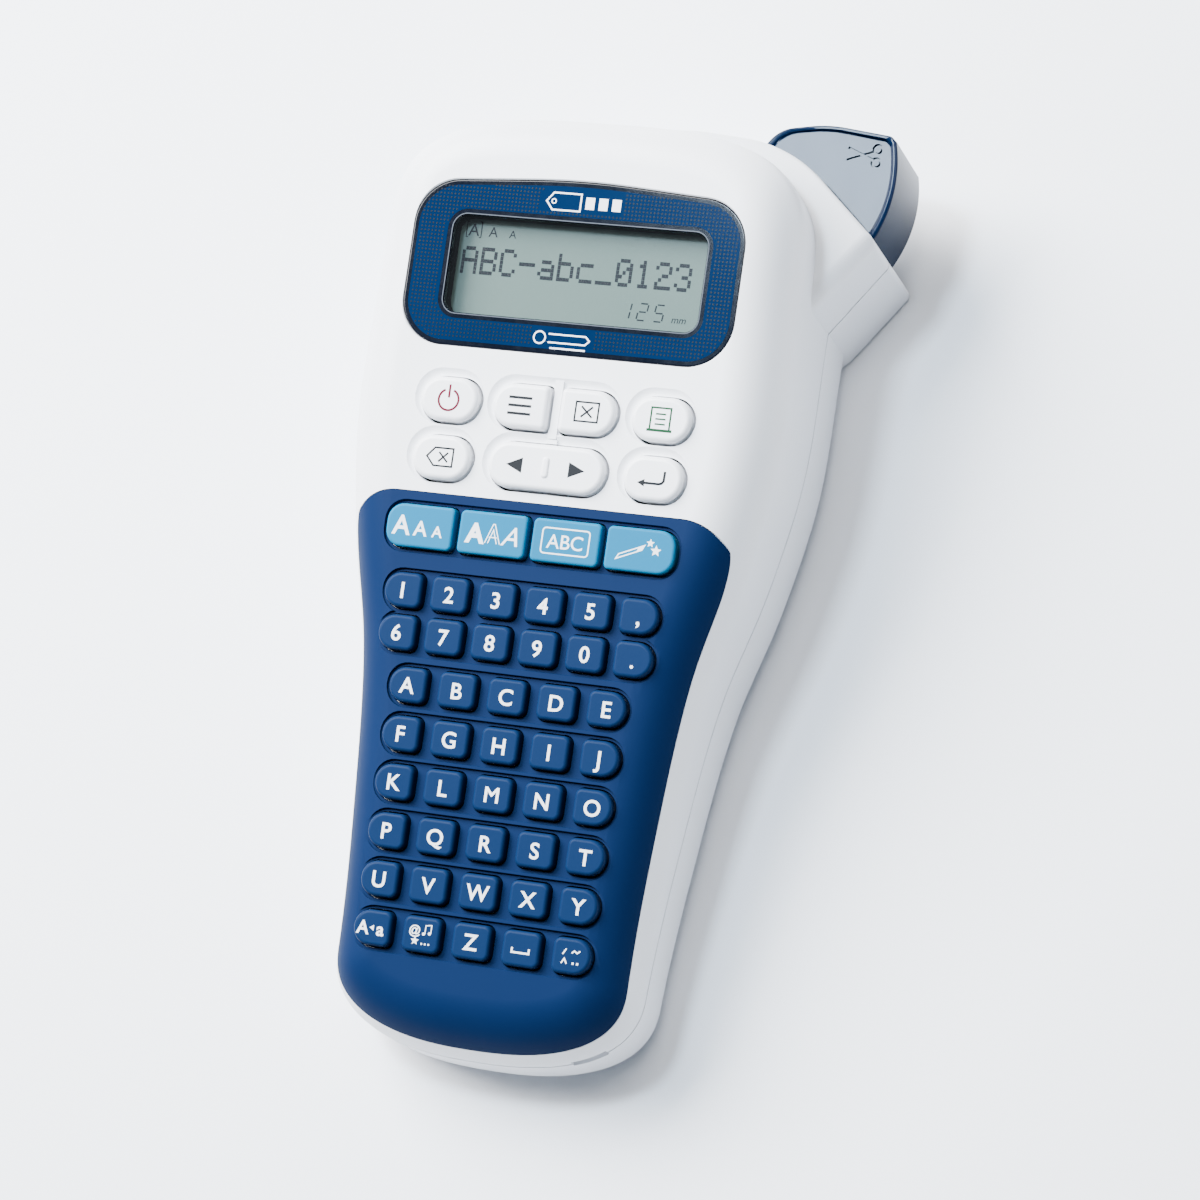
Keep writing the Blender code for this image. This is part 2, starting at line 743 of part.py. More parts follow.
def make_electronics(looks, face):
    """The rubber mat under the keys, the board below it and its controller chip."""
    loop = [p for p in inset(body_outline(), BOARD_INSET) if p.y < BOARD_TOP]
    start = max(range(len(loop)), key=lambda i: (loop[i].x > 0, loop[i].y))
    loop = loop[start + 1 :] + loop[: start + 1]
    mat_top = KEY_BOTTOM - KEY_TRAVEL - PART_GAP
    mat_low = mat_top - MAT_THICKNESS
    prism("key_mat", loop, mat_low, mat_top, looks["rubber"], face)
    board_top = mat_low - PART_GAP
    prism("main_board", loop, board_top - BOARD_THICKNESS, board_top, looks["board"], face)
    chip_top = board_top - BOARD_THICKNESS - PART_GAP
    width, height, thickness = CHIP_SIZE
    chip = rounded(box_corners((0, CHIP_PLACE), (width, height), 0))
    prism("controller_chip", chip, chip_top - thickness, chip_top, looks["dark plastic"], face)


# ---------------------------------------------------------------- cells


def contact_loop():
    """A contact plate seen from its side: a low rail with one tab for each pair of cells."""
    low = -CELL_RADIUS * 0.8
    high = -low
    rail = low + 1.5
    half = CELL_RADIUS * 0.7
    corners = [(-half, low), ((CELL_COUNT - 1) * CELL_PITCH + half, low)]
    for pair in reversed(range(CELL_COUNT // 2)):
        start = 2 * pair * CELL_PITCH - half
        end = (2 * pair + 1) * CELL_PITCH + half
        if pair < CELL_COUNT // 2 - 1:
            corners.append((end, rail))
        corners += [(end, high), (start, high)]
        if pair:
            corners.append((start, rail))
    return [Vector(c) for c in corners]


def make_cells(looks):
    """Six AAA cells across the grip, in a tray, with contact plates at their ends."""
    height = COVER_THICKNESS + 1.0 + CELL_RADIUS
    nub_radius, nub_length = CELL_NUB
    half = CELL_LENGTH / 2
    for index in range(CELL_COUNT):
        profile = [(CELL_RADIUS, -half), (CELL_RADIUS, half)]
        profile += [(nub_radius, half + STEP), (nub_radius, half + nub_length)]
        cell = turned(f"battery_{index + 1}", profile, looks["cell"], count=20)
        place(cell, 0, CELL_FIRST + index * CELL_PITCH, height)
        cell.rotation_euler.y = math.radians(90 if index % 2 else -90)
    middle = CELL_FIRST + (CELL_COUNT - 1) * CELL_PITCH / 2
    length = (CELL_COUNT - 1) * CELL_PITCH + 2 * CELL_RADIUS
    reach = half + nub_length + PART_GAP
    for name, x in (("battery_contacts_left", -reach - CONTACT_THICKNESS), ("battery_contacts_right", reach)):
        plate = prism(name, contact_loop(), 0.0, CONTACT_THICKNESS, looks["steel"])
        place(plate, x, CELL_FIRST, height)
        plate.rotation_euler = (math.radians(90), 0, math.radians(90))
    inner = reach + CONTACT_THICKNESS + PART_GAP
    roof = height + CELL_RADIUS + PART_GAP
    outer = rounded(box_corners((0, middle), (2 * (inner + TRAY_WALL), length), 0))
    tray = prism("battery_tray", outer, CASE_WALL + PART_GAP, roof + TRAY_WALL, looks["white"])
    space = rounded(box_corners((0, middle), (2 * inner, length + 10), 0))
    combine(tray, "DIFFERENCE", prism("tray space", space, -5.0, roof))


# ---------------------------------------------------------------- tape drive


def gear_loop(teeth, phase):
    """A gear's outline with tapered teeth. One tooth points along phase."""
    pitch_radius = GEAR_MODULE * teeth / 2
    root = pitch_radius - 0.95 * GEAR_MODULE
    tip = pitch_radius + 0.7 * GEAR_MODULE
    step = 2 * math.pi / teeth
    loop = []
    for tooth in range(teeth):
        middle = phase + tooth * step
        for radius, share in ((root, -0.29), (tip, -0.13), (tip, 0.13), (root, 0.29)):
            loop.append(Vector(polar((0, 0), radius, middle + share * step)))
    return loop


def meshed_phase(teeth, phase, other_teeth, bearing):
    """Phase of the other gear so that it meshes with this one, on the side given by bearing."""
    return bearing + math.pi - (phase - bearing) * teeth / other_teeth + math.pi / other_teeth


def mesh_distance(teeth, other_teeth):
    return GEAR_MODULE * (teeth + other_teeth) / 2


def gear_places():
    """Name, teeth, axis and phase of each gear, from the platen back to the motor."""
    idler = polar(PLATEN_AXIS, mesh_distance(PLATEN_TEETH, IDLER_TEETH), IDLER_BEARING)
    reduction = polar(idler, mesh_distance(IDLER_TEETH, REDUCTION_TEETH), REDUCTION_BEARING)
    pinion = polar(reduction, mesh_distance(REDUCTION_TEETH, PINION_TEETH), PINION_BEARING)
    idler_phase = meshed_phase(PLATEN_TEETH, 0.0, IDLER_TEETH, IDLER_BEARING)
    reduction_phase = meshed_phase(IDLER_TEETH, idler_phase, REDUCTION_TEETH, REDUCTION_BEARING)
    pinion_phase = meshed_phase(REDUCTION_TEETH, reduction_phase, PINION_TEETH, PINION_BEARING)
    return {
        "platen_gear": (PLATEN_TEETH, PLATEN_AXIS, 0.0),
        "idler_gear": (IDLER_TEETH, idler, idler_phase),
        "reduction_gear": (REDUCTION_TEETH, reduction, reduction_phase),
        "motor_pinion": (PINION_TEETH, pinion, pinion_phase),
    }


def make_gears(looks):
    """The gear train on top of the mechanism frame."""
    low = PLATE_BOTTOM + PLATE_THICKNESS + GEAR_RAISE
    for name, (teeth, axis, phase) in gear_places().items():
        look = looks["brass"] if name == "motor_pinion" else looks["gear"]
        gear = prism(name, gear_loop(teeth, phase), 0.0, GEAR_THICKNESS, look)
        bore = AXLE_RADIUS + PART_GAP
        combine(gear, "DIFFERENCE", place(prism(f"{name} bore", circle((0, 0), bore, 16), -1.0, 9.0), *axis, low))
        place(gear, *axis, low)


def make_frame(looks):
    """The plate over the cassette, with an axle for each loose gear and two posts under the motor."""
    top = PLATE_BOTTOM + PLATE_THICKNESS
    gears = gear_places()
    loop = rounded(box_corners(PLATE_CENTRE, PLATE_SIZE, 9.0), steps=4)
    frame = prism("mechanism_frame", loop, PLATE_BOTTOM, top, looks["zinc"])
    motor_low = top + GEAR_RAISE + GEAR_THICKNESS + 1.0
    for name in ("idler_gear", "reduction_gear"):
        axle_loop = circle(gears[name][1], AXLE_RADIUS, 16)
        axle = prism(f"{name} axle", axle_loop, PLATE_BOTTOM + 0.5, motor_low)
        combine(frame, "UNION", axle)
    motor_axis = gears["motor_pinion"][1]
    for angle in (100, 180, 260):
        place_at = polar(motor_axis, MOTOR_RADIUS - 2.0, math.radians(angle))
        post = prism(f"motor post {angle}", circle(place_at, 1.8, 12), PLATE_BOTTOM + 0.5, motor_low - PART_GAP)
        combine(frame, "UNION", post)
    hole = prism("platen hole", circle(PLATEN_AXIS, AXLE_RADIUS + PART_GAP, 16), 0.0, 40.0)
    return combine(frame, "DIFFERENCE", hole)


def make_motor(looks):
    """The motor with its shaft through the pinion."""
    x, y = gear_places()["motor_pinion"][1]
    gear_low = PLATE_BOTTOM + PLATE_THICKNESS + GEAR_RAISE
    low = gear_low + GEAR_THICKNESS + 1.0
    profile = [(MOTOR_RADIUS, low), (MOTOR_RADIUS, low + MOTOR_HEIGHT), (3.0, low + MOTOR_HEIGHT + STEP)]
    motor = turned("drive_motor", profile + [(3.0, low + MOTOR_HEIGHT + 1.0)], looks["steel"])
    place(motor, x, y, 0)
    shaft = turned("motor_shaft", [(AXLE_RADIUS, gear_low - 1.0), (AXLE_RADIUS, low - PART_GAP)], looks["steel"])
    place(shaft, x, y, 0)


def make_platen(looks):
    """The platen's shaft and rubber roller, beside the cassette's notch, and the print head facing it."""
    x, y = PLATEN_AXIS
    gear_top = PLATE_BOTTOM + PLATE_THICKNESS + GEAR_RAISE + GEAR_THICKNESS
    shaft = turned("platen_shaft", [(AXLE_RADIUS, 3.4), (AXLE_RADIUS, gear_top + 1.0)], looks["steel"], count=16)
    place(shaft, x, y, 0)
    low = 4.0
    roller = turned("platen_roller", [(PLATEN_RADIUS, low), (PLATEN_RADIUS, low + TAPE_WIDTH + 1)], looks["rubber"])
    bore = prism("roller bore", circle((x, y), AXLE_RADIUS + PART_GAP, 16), 0.0, 30.0)
    combine(place(roller, x, y, 0), "DIFFERENCE", bore)
    width, height = HEAD_BLOCK_SIZE
    loop = rounded(box_corners((x - PLATEN_RADIUS - PART_GAP - width / 2, y), (width, height), 0))
    prism("print_head", loop, low, PLATE_BOTTOM - PART_GAP, looks["zinc"])


def make_cassette(looks):
    """The tape cassette, with a notch for the print head and platen and two hub holes."""
    x, y = CASSETTE_CENTRE
    width, height, thickness = CASSETTE_SIZE
    right, top = x + width / 2, y + height / 2
    notch_w, notch_h = CASSETTE_NOTCH
    corners = [(x - width / 2, y - height / 2, 4.0), (right, y - height / 2, 4.0), (right, top - notch_h, 2.0)]
    corners += [(right - notch_w, top - notch_h, 1.0), (right - notch_w, top, 2.0), (x - width / 2, top, 4.0)]
    low = COVER_THICKNESS + 0.8
    cassette = prism("tape_cassette", rounded(corners), low, low + thickness, looks["cassette"])
    for index, (dx, radius) in enumerate(((-14.0, 5.0), (14.0, 3.5))):
        hub = prism(f"hub hole {index}", circle((x + dx, y - 4.0), radius, 20), -5.0, 40.0)
        combine(cassette, "DIFFERENCE", hub)
    return cassette


# ---------------------------------------------------------------- cutter


def lever_corners():
    """The cutter lever seen from the front, with its swept edge about the pivot."""
    steps = 8
    swept = []
    for step in range(steps + 1):
        angle = LEVER_ARC_START + (LEVER_ARC_END - LEVER_ARC_START) * step / steps
        swept.append((*polar(PIVOT, LEVER_RADIUS, angle), 0))
    x, y = PIVOT
    boss = LEVER_BOSS_RADIUS
    return [(x - 1.2, y - boss - 0.4, 1.5)] + swept + [
        (58.3, 103.6, 1.6),
        (44.0, 105.2, 30.0),
        (33.0, 103.4, 8.0),
        (x - boss - 0.2, y + 1.6, 1.5),
    ]


def make_lever(looks):
    """The lever's top plate and skirt, with its origin on the pivot."""
    x, y = PIVOT

    def local(loop):
        return [p - Vector(PIVOT) for p in loop]

    outer = local(rounded(lever_corners(), steps=6))
    inner = local(rounded(lever_corners(), LEVER_WALL, steps=6))
    top = lever_height(y)
    slope = math.tan(FACE_TILT)
    lever = prism("cutter_lever", outer, LEVER_BOTTOM, lambda px, py: top + py * slope, looks["navy gloss"])
    hollow = prism("lever hollow", inner, LEVER_BOTTOM - 3, lambda px, py: top + py * slope - LEVER_WALL)
    boss = prism("lever boss", circle((0, 0), LEVER_BOSS_RADIUS, 20), LEVER_BOTTOM, top - LEVER_WALL / 2)
    bore = prism("lever bore", circle((0, 0), PIN_RADIUS + PART_GAP, 20), 0.0, 60.0)
    for obj in (lever, hollow, boss, bore):
        place(obj, x, y, 0)
    combine(lever, "DIFFERENCE", hollow)
    combine(lever, "UNION", boss)
    combine(lever, "DIFFERENCE", bore)


def make_lever_fittings(looks):
    """The pivot pin, the coil spring on it and the blade behind the tape slot."""
    x, y = PIVOT
    ceiling = shoulder_height(x, y) - SHOULDER_LIP
    pin = turned("lever_pivot_pin", [(PIN_RADIUS, PIN_BOTTOM), (PIN_RADIUS, ceiling - 0.5)], looks["steel"], count=16)
    place(pin, x, y, 0)
    low = lever_height(y) + 0.6
    make_spring(x, y, low + SPRING_WIRE, ceiling - 1.0 - SPRING_WIRE, looks["steel"])
    along = shoulder_direction()
    out = Vector((-along.y, along.x))
    depth = HOUSING_WALL + 2 * PART_GAP + BLADE_THICKNESS / 2
    middle = tape_exit() - out * depth - along * (BLADE_LENGTH / 2 + BLADE_SETBACK)
    loop = rounded(box_corners((0, 0), (BLADE_LENGTH, BLADE_THICKNESS), 0))
    low = HOUSING_FLOOR + HOUSING_WALL + PART_GAP
    blade = prism("cutter_blade", loop, low, LEVER_BOTTOM - 0.5, looks["steel"])
    place(blade, middle.x, middle.y, 0, math.atan2(along.y, along.x))


def make_spring(x, y, low, high, look):
    """A coil around the pivot pin."""
    radius = PIN_RADIUS + PART_GAP + SPRING_WIRE
    per_turn, around = 12, 6
    rings = []
    for step in range(SPRING_TURNS * per_turn + 1):
        turn = 2 * math.pi * step / per_turn
        height = low + (high - low) * step / (SPRING_TURNS * per_turn)
        section = []
        for index in range(around):
            angle = 2 * math.pi * index / around
            reach = radius + SPRING_WIRE * math.cos(angle)
            lift = height + SPRING_WIRE * math.sin(angle)
            section.append((reach * math.cos(turn), reach * math.sin(turn), lift))
        rings.append(section)
    place(loft("lever_spring", rings, look), x, y, 0)


def make_screws(look):
    """Four pan head screws that hold the case halves together."""
    low = SCREW_RECESS
    neck = low + SCREW_HEAD_HEIGHT
    for index, (x, y) in enumerate(screw_places()):
        profile = [(SCREW_HEAD_RADIUS, low), (SCREW_HEAD_RADIUS, neck), (SCREW_SHANK_RADIUS, neck + STEP)]
        profile.append((SCREW_SHANK_RADIUS, neck + SCREW_LENGTH))
        place(turned(f"case_screw_{index + 1}", profile, look, count=16), x, y, 0)


def main():
    clear_scene()
    looks = {
        "white": material("white plastic", (0.82, 0.82, 0.85), 0.35),
        "navy": material("navy panel", (0.017, 0.055, 0.21), 0.45),
        "navy gloss": material("navy gloss", (0.012, 0.03, 0.09), 0.12),
        "cyan": material("turquoise key", (0.08, 0.55, 0.68), 0.3),
        "key white": material("white key", (0.85, 0.85, 0.88), 0.3),
        "window": material("blue window", (0.008, 0.07, 0.25), 0.15),
        "glass": material("liquid crystal", (0.38, 0.45, 0.40), 0.2),
        "dark plastic": material("dark plastic", (0.01, 0.01, 0.012), 0.4),
        "rubber": material("rubber", (0.03, 0.03, 0.035), 0.8),
        "board": material("circuit board", (0.01, 0.12, 0.04), 0.5),
        "steel": material("steel", (0.6, 0.6, 0.62), 0.3, 1.0),
        "zinc": material("zinc", (0.5, 0.5, 0.5), 0.45, 1.0),
        "brass": material("brass", (0.7, 0.5, 0.2), 0.3, 1.0),
        "gear": material("gear plastic", (0.75, 0.75, 0.7), 0.5),
        "cassette": material("cassette plastic", (0.12, 0.12, 0.13), 0.4),
        "cell": material("cell wrap", (0.1, 0.35, 0.15), 0.35),
    }
    face = bpy.data.objects.new("face_frame", None)
    bpy.context.scene.collection.objects.link(face)
    face.location.z = FACE_HEIGHT * MM
    face.rotation_euler.x = FACE_TILT

    make_front_case(looks["white"], face)
    make_keypad_panel(looks["navy"], face)
    make_rear_case(looks["white"])
    make_back_cover(looks["white"])
    make_display(looks, face)
    for entry in white_key_plan():
        make_key(entry, WHITE_KEY_RISE, looks["key white"], face)
    for entry in cyan_key_plan():
        make_key(entry, CYAN_RISE, looks["cyan"], face)
    for name, plan in small_row_plans():
        make_key_row(name, plan, looks["navy"], face)
    make_electronics(looks, face)
    make_cells(looks)
    make_frame(looks)
    make_gears(looks)
    make_motor(looks)
    make_platen(looks)
    make_cassette(looks)
    make_lever(looks)
    make_lever_fittings(looks)
    make_screws(looks["steel"])


main()
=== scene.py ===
"""The looks of the handheld label maker: shells, key caps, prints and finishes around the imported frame.

Shapes are worked out in millimetres. The case is seen from the front with +Y up to the head. Pieces on
the keyed face are made in its own frame, which leans by FACE_TILT and lies FACE_HEIGHT above the floor.
"""

import math

import bmesh
import bpy
from mathutils import Matrix, Vector


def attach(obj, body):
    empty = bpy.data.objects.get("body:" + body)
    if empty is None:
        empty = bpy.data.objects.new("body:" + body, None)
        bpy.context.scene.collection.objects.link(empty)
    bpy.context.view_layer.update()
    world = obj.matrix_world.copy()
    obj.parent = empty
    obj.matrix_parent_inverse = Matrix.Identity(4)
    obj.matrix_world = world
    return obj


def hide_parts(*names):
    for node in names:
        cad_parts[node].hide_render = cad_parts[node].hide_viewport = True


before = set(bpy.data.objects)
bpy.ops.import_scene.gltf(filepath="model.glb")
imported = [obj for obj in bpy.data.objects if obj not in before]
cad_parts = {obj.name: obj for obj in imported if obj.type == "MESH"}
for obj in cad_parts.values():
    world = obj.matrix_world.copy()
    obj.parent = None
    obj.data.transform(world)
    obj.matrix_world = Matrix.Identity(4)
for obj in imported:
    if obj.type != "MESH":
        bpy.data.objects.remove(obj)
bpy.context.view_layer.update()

MM = 0.001

# Face and body outline, as the frame has them
FACE_TILT = math.radians(9.5)
FACE_HEIGHT = 44.2
HEAD_TOP = 96.1
HEAD_WIDEST = 66.0
HEAD_HALF_WIDTH = 47.4
HEAD_SQUARENESS = 3.2
FOOT_END = -103.5
FOOT_WIDEST = -84.5
FOOT_HALF_WIDTH = 34.7
FOOT_SQUARENESS = 2.4
SIDE_STATIONS = ((-51.0, 36.2), (-21.0, 39.1), (4.5, 44.8), (31.0, 48.2))
OUTLINE_POINTS = 200
FRONT_FILLET = 12.0
REAR_FILLET = 7.0
FILLET_STEPS = 10
CASE_WALL = 2.8
PARTING_HEIGHT = 18.2
PARTING_TILT = math.radians(1.2)
PART_GAP = 0.3
SEAM = 0.12
SEAM_GROOVE = (0.5, 0.35)  # height and depth

# Shoulder housing and cutter lever
SHOULDER_CORNER = (58.7, 80.2)
SHOULDER_HEIGHT = 34.9
SHOULDER_SLOPE = (-0.262, 0.129)
HOUSING_FLOOR = 1.0
HOUSING_WALL = 1.6
SHOULDER_LIP = 1.2
PIVOT = (31.0, 94.5)
LEVER_RADIUS = 29.7
LEVER_ARC = (math.radians(-27.5), math.radians(15.5))
LEVER_SWING = math.radians(16.0)
LEVER_BOTTOM = 15.4
LEVER_HEIGHT = 32.2
LEVER_WALL = 1.6
LEVER_BOSS = 2.8
LEVER_SCOOP = 0.75
PLATE_CENTRE = (47.0, 97.0)
PLATE_SLOPE = (0.034, 0.026)
SCISSORS = (52.6, 99.4)
ENGRAVING = 0.7
SHOULDER_EDGE = 0.9
SHOULDER_WALL_EDGE = 3.0
PIN_HOLE = 1.5

# Keypad panel, window and display
PANEL_TOP = 11.35
PANEL_CORNER = 14.0
PANEL_THICKNESS = 1.5
PANEL_DEPTH = 5.8
PANEL_RISE = (-6.0, 8.2)  # where its side edge rises, along y
PANEL_RISE_DEPTH = 3.2
ROW_RECESS = 0.9
ROW_MARGIN = 0.95
WINDOW_SIZE = (75.2, 37.3)
WINDOW_CENTRE = 62.2
WINDOW_CORNER = 10.0
WINDOW_THICKNESS = 1.5
WINDOW_ARCH = 2.0
WINDOW_ARCH_RADIUS = 180.0
WINDOW_RIM = 1.1
GLASS_CENTRE = (0.5, 61.4)
GLASS_SIZE = (57.7, 21.2)
GLASS_CORNER = 3.0
GLASS_BORDER = 1.3
FRAME_RIM = 2.0
FRAME_DEPTH = 2.4
DOT_PITCH = 0.83
DOT_RADIUS = 0.23
DOT_HEIGHT = 0.06
DOT_MARGIN = 0.35  # clear of the rims
DOT_SHELF = 0.04  # above the window's top
MARK_CLEARINGS = (((0.2, 76.4), (19.0, 5.0)), ((0.0, 46.6), (14.5, 4.8)))  # centre and size

# Keys
KEY_FIT = 0.35
WHITE_KEY_FIT = 0.45
WHITE_KEY_LEAN = (0.12, -0.12)  # of the hole, from the key
KEY_BOTTOM = -3.9
WHITE_KEY = (13.3, 9.6)
WHITE_RISE = 1.6
WHITE_ROWS = (31.8, 19.2)
WHITE_COLUMNS = (-23.0, 1.0, 25.0)
SQUARE_END = 1.2  # corner radius of an end that is not round
PAIR_WIDTH = 12.6
PAIR_MIDDLE = 0.9
PAIR_OFFSET = 7.6
CURSOR_KEY = (26.4, 10.0)
TURQUOISE_KEY = (15.4, 9.3)
TURQUOISE_PITCH = 16.65
TURQUOISE_ROW = 4.0
TURQUOISE_RISE = 1.2
SMALL_KEY = (8.6, 7.6)
SMALL_RISE = 1.1
NUMBER_PITCH = 10.71
NUMBER_ROWS = (-9.8, -18.9)
LETTER_PITCH = 11.28
LETTER_ROWS = (-29.8, -40.2, -50.5, -60.9, -71.2, -81.6)
KEYPAD_CENTRE = -0.6
DISH_REACH = 1.3
DISH_SHIFT = (-0.5, 0.7)
DISH_PROFILE = ((0.4, -0.62), (0.75, -0.5), (1.0, -0.3), (1.18, -0.13), (1.3, -0.03), (1.42, 0.4))
CURSOR_TAB = 2.4
BRIDGE_LENGTH = 12.4
LEGEND_SCALE = 1.14

# Back
COVER_RIM = 10.5
COVER_THICKNESS = 2.0
COVER_FIT = 0.35
SCREWS = ((-40.6, 46.0), (40.6, 46.0), (-30.8, -24.0), (30.8, -24.0))
SCREW_RECESS = 2.7
FOOT_NOTCH = (8.0, 2.6, 1.4)  # width, height and depth
FOOT_NOTCH_X = 25.0

LEAST_RADIUS = 0.1
EDGE_STEPS = 6  # of a rounded upper edge
FAR = 140.0  # past the case in any direction
PRINT_THICKNESS = 0.035
PRINT_SUNK = 0.08
PRINT_STAGGER = 0.006  # keeps shapes that cross apart in height
CAPITAL_HEIGHT = 0.729  # of the typeface's size

# ---------------------------------------------------------------- outlines


def face_height(y):
    """Height of the keyed face above the floor."""
    return FACE_HEIGHT + y * math.tan(FACE_TILT)


def shoulder_height(x, y):
    """Height of the shoulder's sloping top."""
    across, along = SHOULDER_SLOPE
    return SHOULDER_HEIGHT + across * (x - SHOULDER_CORNER[0]) + along * (y - SHOULDER_CORNER[1])


def under_shoulder(x, y):
    return shoulder_height(x, y) - SHOULDER_LIP


def lever_height(y):
    """Height of the lever's top rim, which is level with the face."""
    return LEVER_HEIGHT + (y - SHOULDER_CORNER[1]) * math.tan(FACE_TILT)


def side_width(y):
    """Half width of the grip and waist, a smooth curve through the stations."""
    knots = ((FOOT_WIDEST, FOOT_HALF_WIDTH), *SIDE_STATIONS, (HEAD_WIDEST, HEAD_HALF_WIDTH))
    slopes = [0.0]
    for before, after in zip(knots, knots[2:]):
        slopes.append((after[1] - before[1]) / (after[0] - before[0]))
    slopes.append(0.0)
    index = max(i for i in range(len(knots) - 1) if i == 0 or knots[i][0] <= y)
    (y0, w0), (y1, w1) = knots[index], knots[index + 1]
    span = y1 - y0
    t = (y - y0) / span
    rise = slopes[index] * t * (1 - t) ** 2 - slopes[index + 1] * (1 - t) * t**2
    return w0 + (w1 - w0) * t**2 * (3 - 2 * t) + rise * span


def quarter_turn(steps):
    """The sine and cosine of each step from 0 to 90 degrees."""
    turns = [math.pi / 2 * step / steps for step in range(steps + 1)]
    return [(math.sin(a), math.cos(a)) for a in turns]


def quarter(half_width, height, squareness, steps):
    """A rounded corner from (0, height) to (half_width, 0), squarer than an ellipse."""
    power = 2 / squareness
    return [(half_width * a**power, height * max(b, 0.0) ** power) for a, b in quarter_turn(steps)]


def body_outline(count=OUTLINE_POINTS):
    """The case seen from the front, anticlockwise from the foot, with more points where it turns."""
    steps = 60
    foot = quarter(FOOT_HALF_WIDTH, FOOT_WIDEST - FOOT_END, FOOT_SQUARENESS, steps)
    right = [(x, FOOT_WIDEST - y) for x, y in foot]
    for step in range(1, steps):
        y = FOOT_WIDEST + (HEAD_WIDEST - FOOT_WIDEST) * step / steps
        right.append((side_width(y), y))
    head = quarter(HEAD_HALF_WIDTH, HEAD_TOP - HEAD_WIDEST, HEAD_SQUARENESS, steps)
    right += [(x, HEAD_WIDEST + y) for x, y in reversed(head)]
    spans = [Vector(b) - Vector(a) for a, b in zip(right, right[1:])]
    length = sum(s.length for s in spans)
    walked = [0.0]
    for index, span in enumerate(spans):
        turn = abs(spans[index - 1].angle_signed(span)) if index else 0.0
        walked.append(walked[-1] + span.length / length + turn / math.pi)
    chosen = []
    half = count // 2
    for step in range(half + 1):
        target = walked[-1] * step / half
        index = min(max(i for i, w in enumerate(walked) if w <= target + 1e-9), len(spans) - 1)
        share = (target - walked[index]) / (walked[index + 1] - walked[index])
        chosen.append(Vector(right[index]).lerp(Vector(right[index + 1]), share))
    return chosen + [Vector((-p.x, p.y)) for p in reversed(chosen[1:-1])]


def inset(loop, distance):
    """The loop moved inwards, with mitred corners."""
    moved = []
    for index, point in enumerate(loop):
        before = (point - loop[index - 1]).normalized()
        after = (loop[(index + 1) % len(loop)] - point).normalized()
        inward = Vector((-before.y - after.y, before.x + after.x)).normalized()
        lean = inward.dot(Vector((-before.y, before.x)))
        moved.append(point + inward * distance / lean)
    return moved


def rounded(corners, distance=0.0, steps=6):
    """A loop through (x, y, radius) corners, moved inwards by distance and then rounded."""
    sharp = inset([Vector(corner[:2]) for corner in corners], distance)
    loop = []
    for index, corner in enumerate(sharp):
        to_before = (sharp[index - 1] - corner).normalized()
        to_after = (sharp[(index + 1) % len(sharp)] - corner).normalized()
        turn_left = to_before.x * to_after.y - to_before.y * to_after.x < 0
        if corners[index][2] == 0:
            loop.append(corner)
            continue
        radius = max(corners[index][2] + (-distance if turn_left else distance), LEAST_RADIUS)
        half = to_before.angle(to_after) / 2
        centre = corner + (to_before + to_after).normalized() * radius / math.sin(half)
        start = corner + to_before * radius / math.tan(half) - centre
        end = corner + to_after * radius / math.tan(half) - centre
        sweep = -start.angle_signed(end)
        for step in range(steps + 1):
            loop.append(centre + Matrix.Rotation(sweep * step / steps, 2) @ start)
    return loop


def box_corners(centre, size, radius=0.0):
    """Corners of a rounded rectangle for rounded()."""
    x, y = centre
    w, h = size[0] / 2, size[1] / 2
    return [(x - w, y - h, radius), (x + w, y - h, radius), (x + w, y + h, radius), (x - w, y + h, radius)]


def circle(centre, radius, count=32):
    turns = [2 * math.pi * step / count for step in range(count)]
    return [Vector((centre[0] + radius * math.cos(a), centre[1] + radius * math.sin(a))) for a in turns]


def polar(centre, distance, angle):
    return centre[0] + distance * math.cos(angle), centre[1] + distance * math.sin(angle)


def shift(loop, x, y):
    return [Vector((p.x + x, p.y + y)) for p in loop]


def level(loop, height):
    """A loop lifted to a height, which is a number or a function of x and y."""
    return [(p.x, p.y, height(p.x, p.y) if callable(height) else height) for p in loop]


# ---------------------------------------------------------------- solids

FACE = Matrix.Translation((0, 0, FACE_HEIGHT)) @ Matrix.Rotation(FACE_TILT, 4, "X")
WORLD = Matrix.Identity(4)


def settle(name, tool, place=WORLD):
    """A new object from a bmesh in millimetres, moved to its place, with outward faces."""
    bmesh.ops.transform(tool, matrix=Matrix.Scale(MM, 4) @ place, verts=tool.verts)
    bmesh.ops.recalc_face_normals(tool, faces=tool.faces)
    mesh = bpy.data.meshes.new(name)
    tool.to_mesh(mesh)
    tool.free()
    made = bpy.data.objects.new(name, mesh)
    bpy.context.scene.collection.objects.link(made)
    return made


def add_loft(tool, rings):
    """A closed solid through rings of equal length, added to a bmesh."""
    levels = [[tool.verts.new(point) for point in ring] for ring in rings]
    tool.faces.new(list(reversed(levels[0])))
    tool.faces.new(levels[-1])
    for low, high in zip(levels, levels[1:]):
        for i in range(len(low)):
            j = (i + 1) % len(low)
            tool.faces.new((low[i], low[j], high[j], high[i]))


def solid(name, lofts, place=WORLD):
    """An object made of one or more closed lofts."""
    tool = bmesh.new()
    for rings in lofts:
        add_loft(tool, rings)
    return settle(name, tool, place)


def prism(loop, low, high):
    return [level(loop, low), level(loop, high)]


def shape(target, *steps):
    """Cuts, joins or keeps parts of target with other objects, then removes them."""
    for operation, other in steps:
        modifier = target.modifiers.new(operation.lower(), "BOOLEAN")
        modifier.operation = operation
        modifier.solver = "EXACT"
        modifier.use_self = True
        modifier.object = other
    target.data = plain_mesh(target)
    target.modifiers.clear()
    for _, other in steps:
        bpy.data.objects.remove(other)
    return target


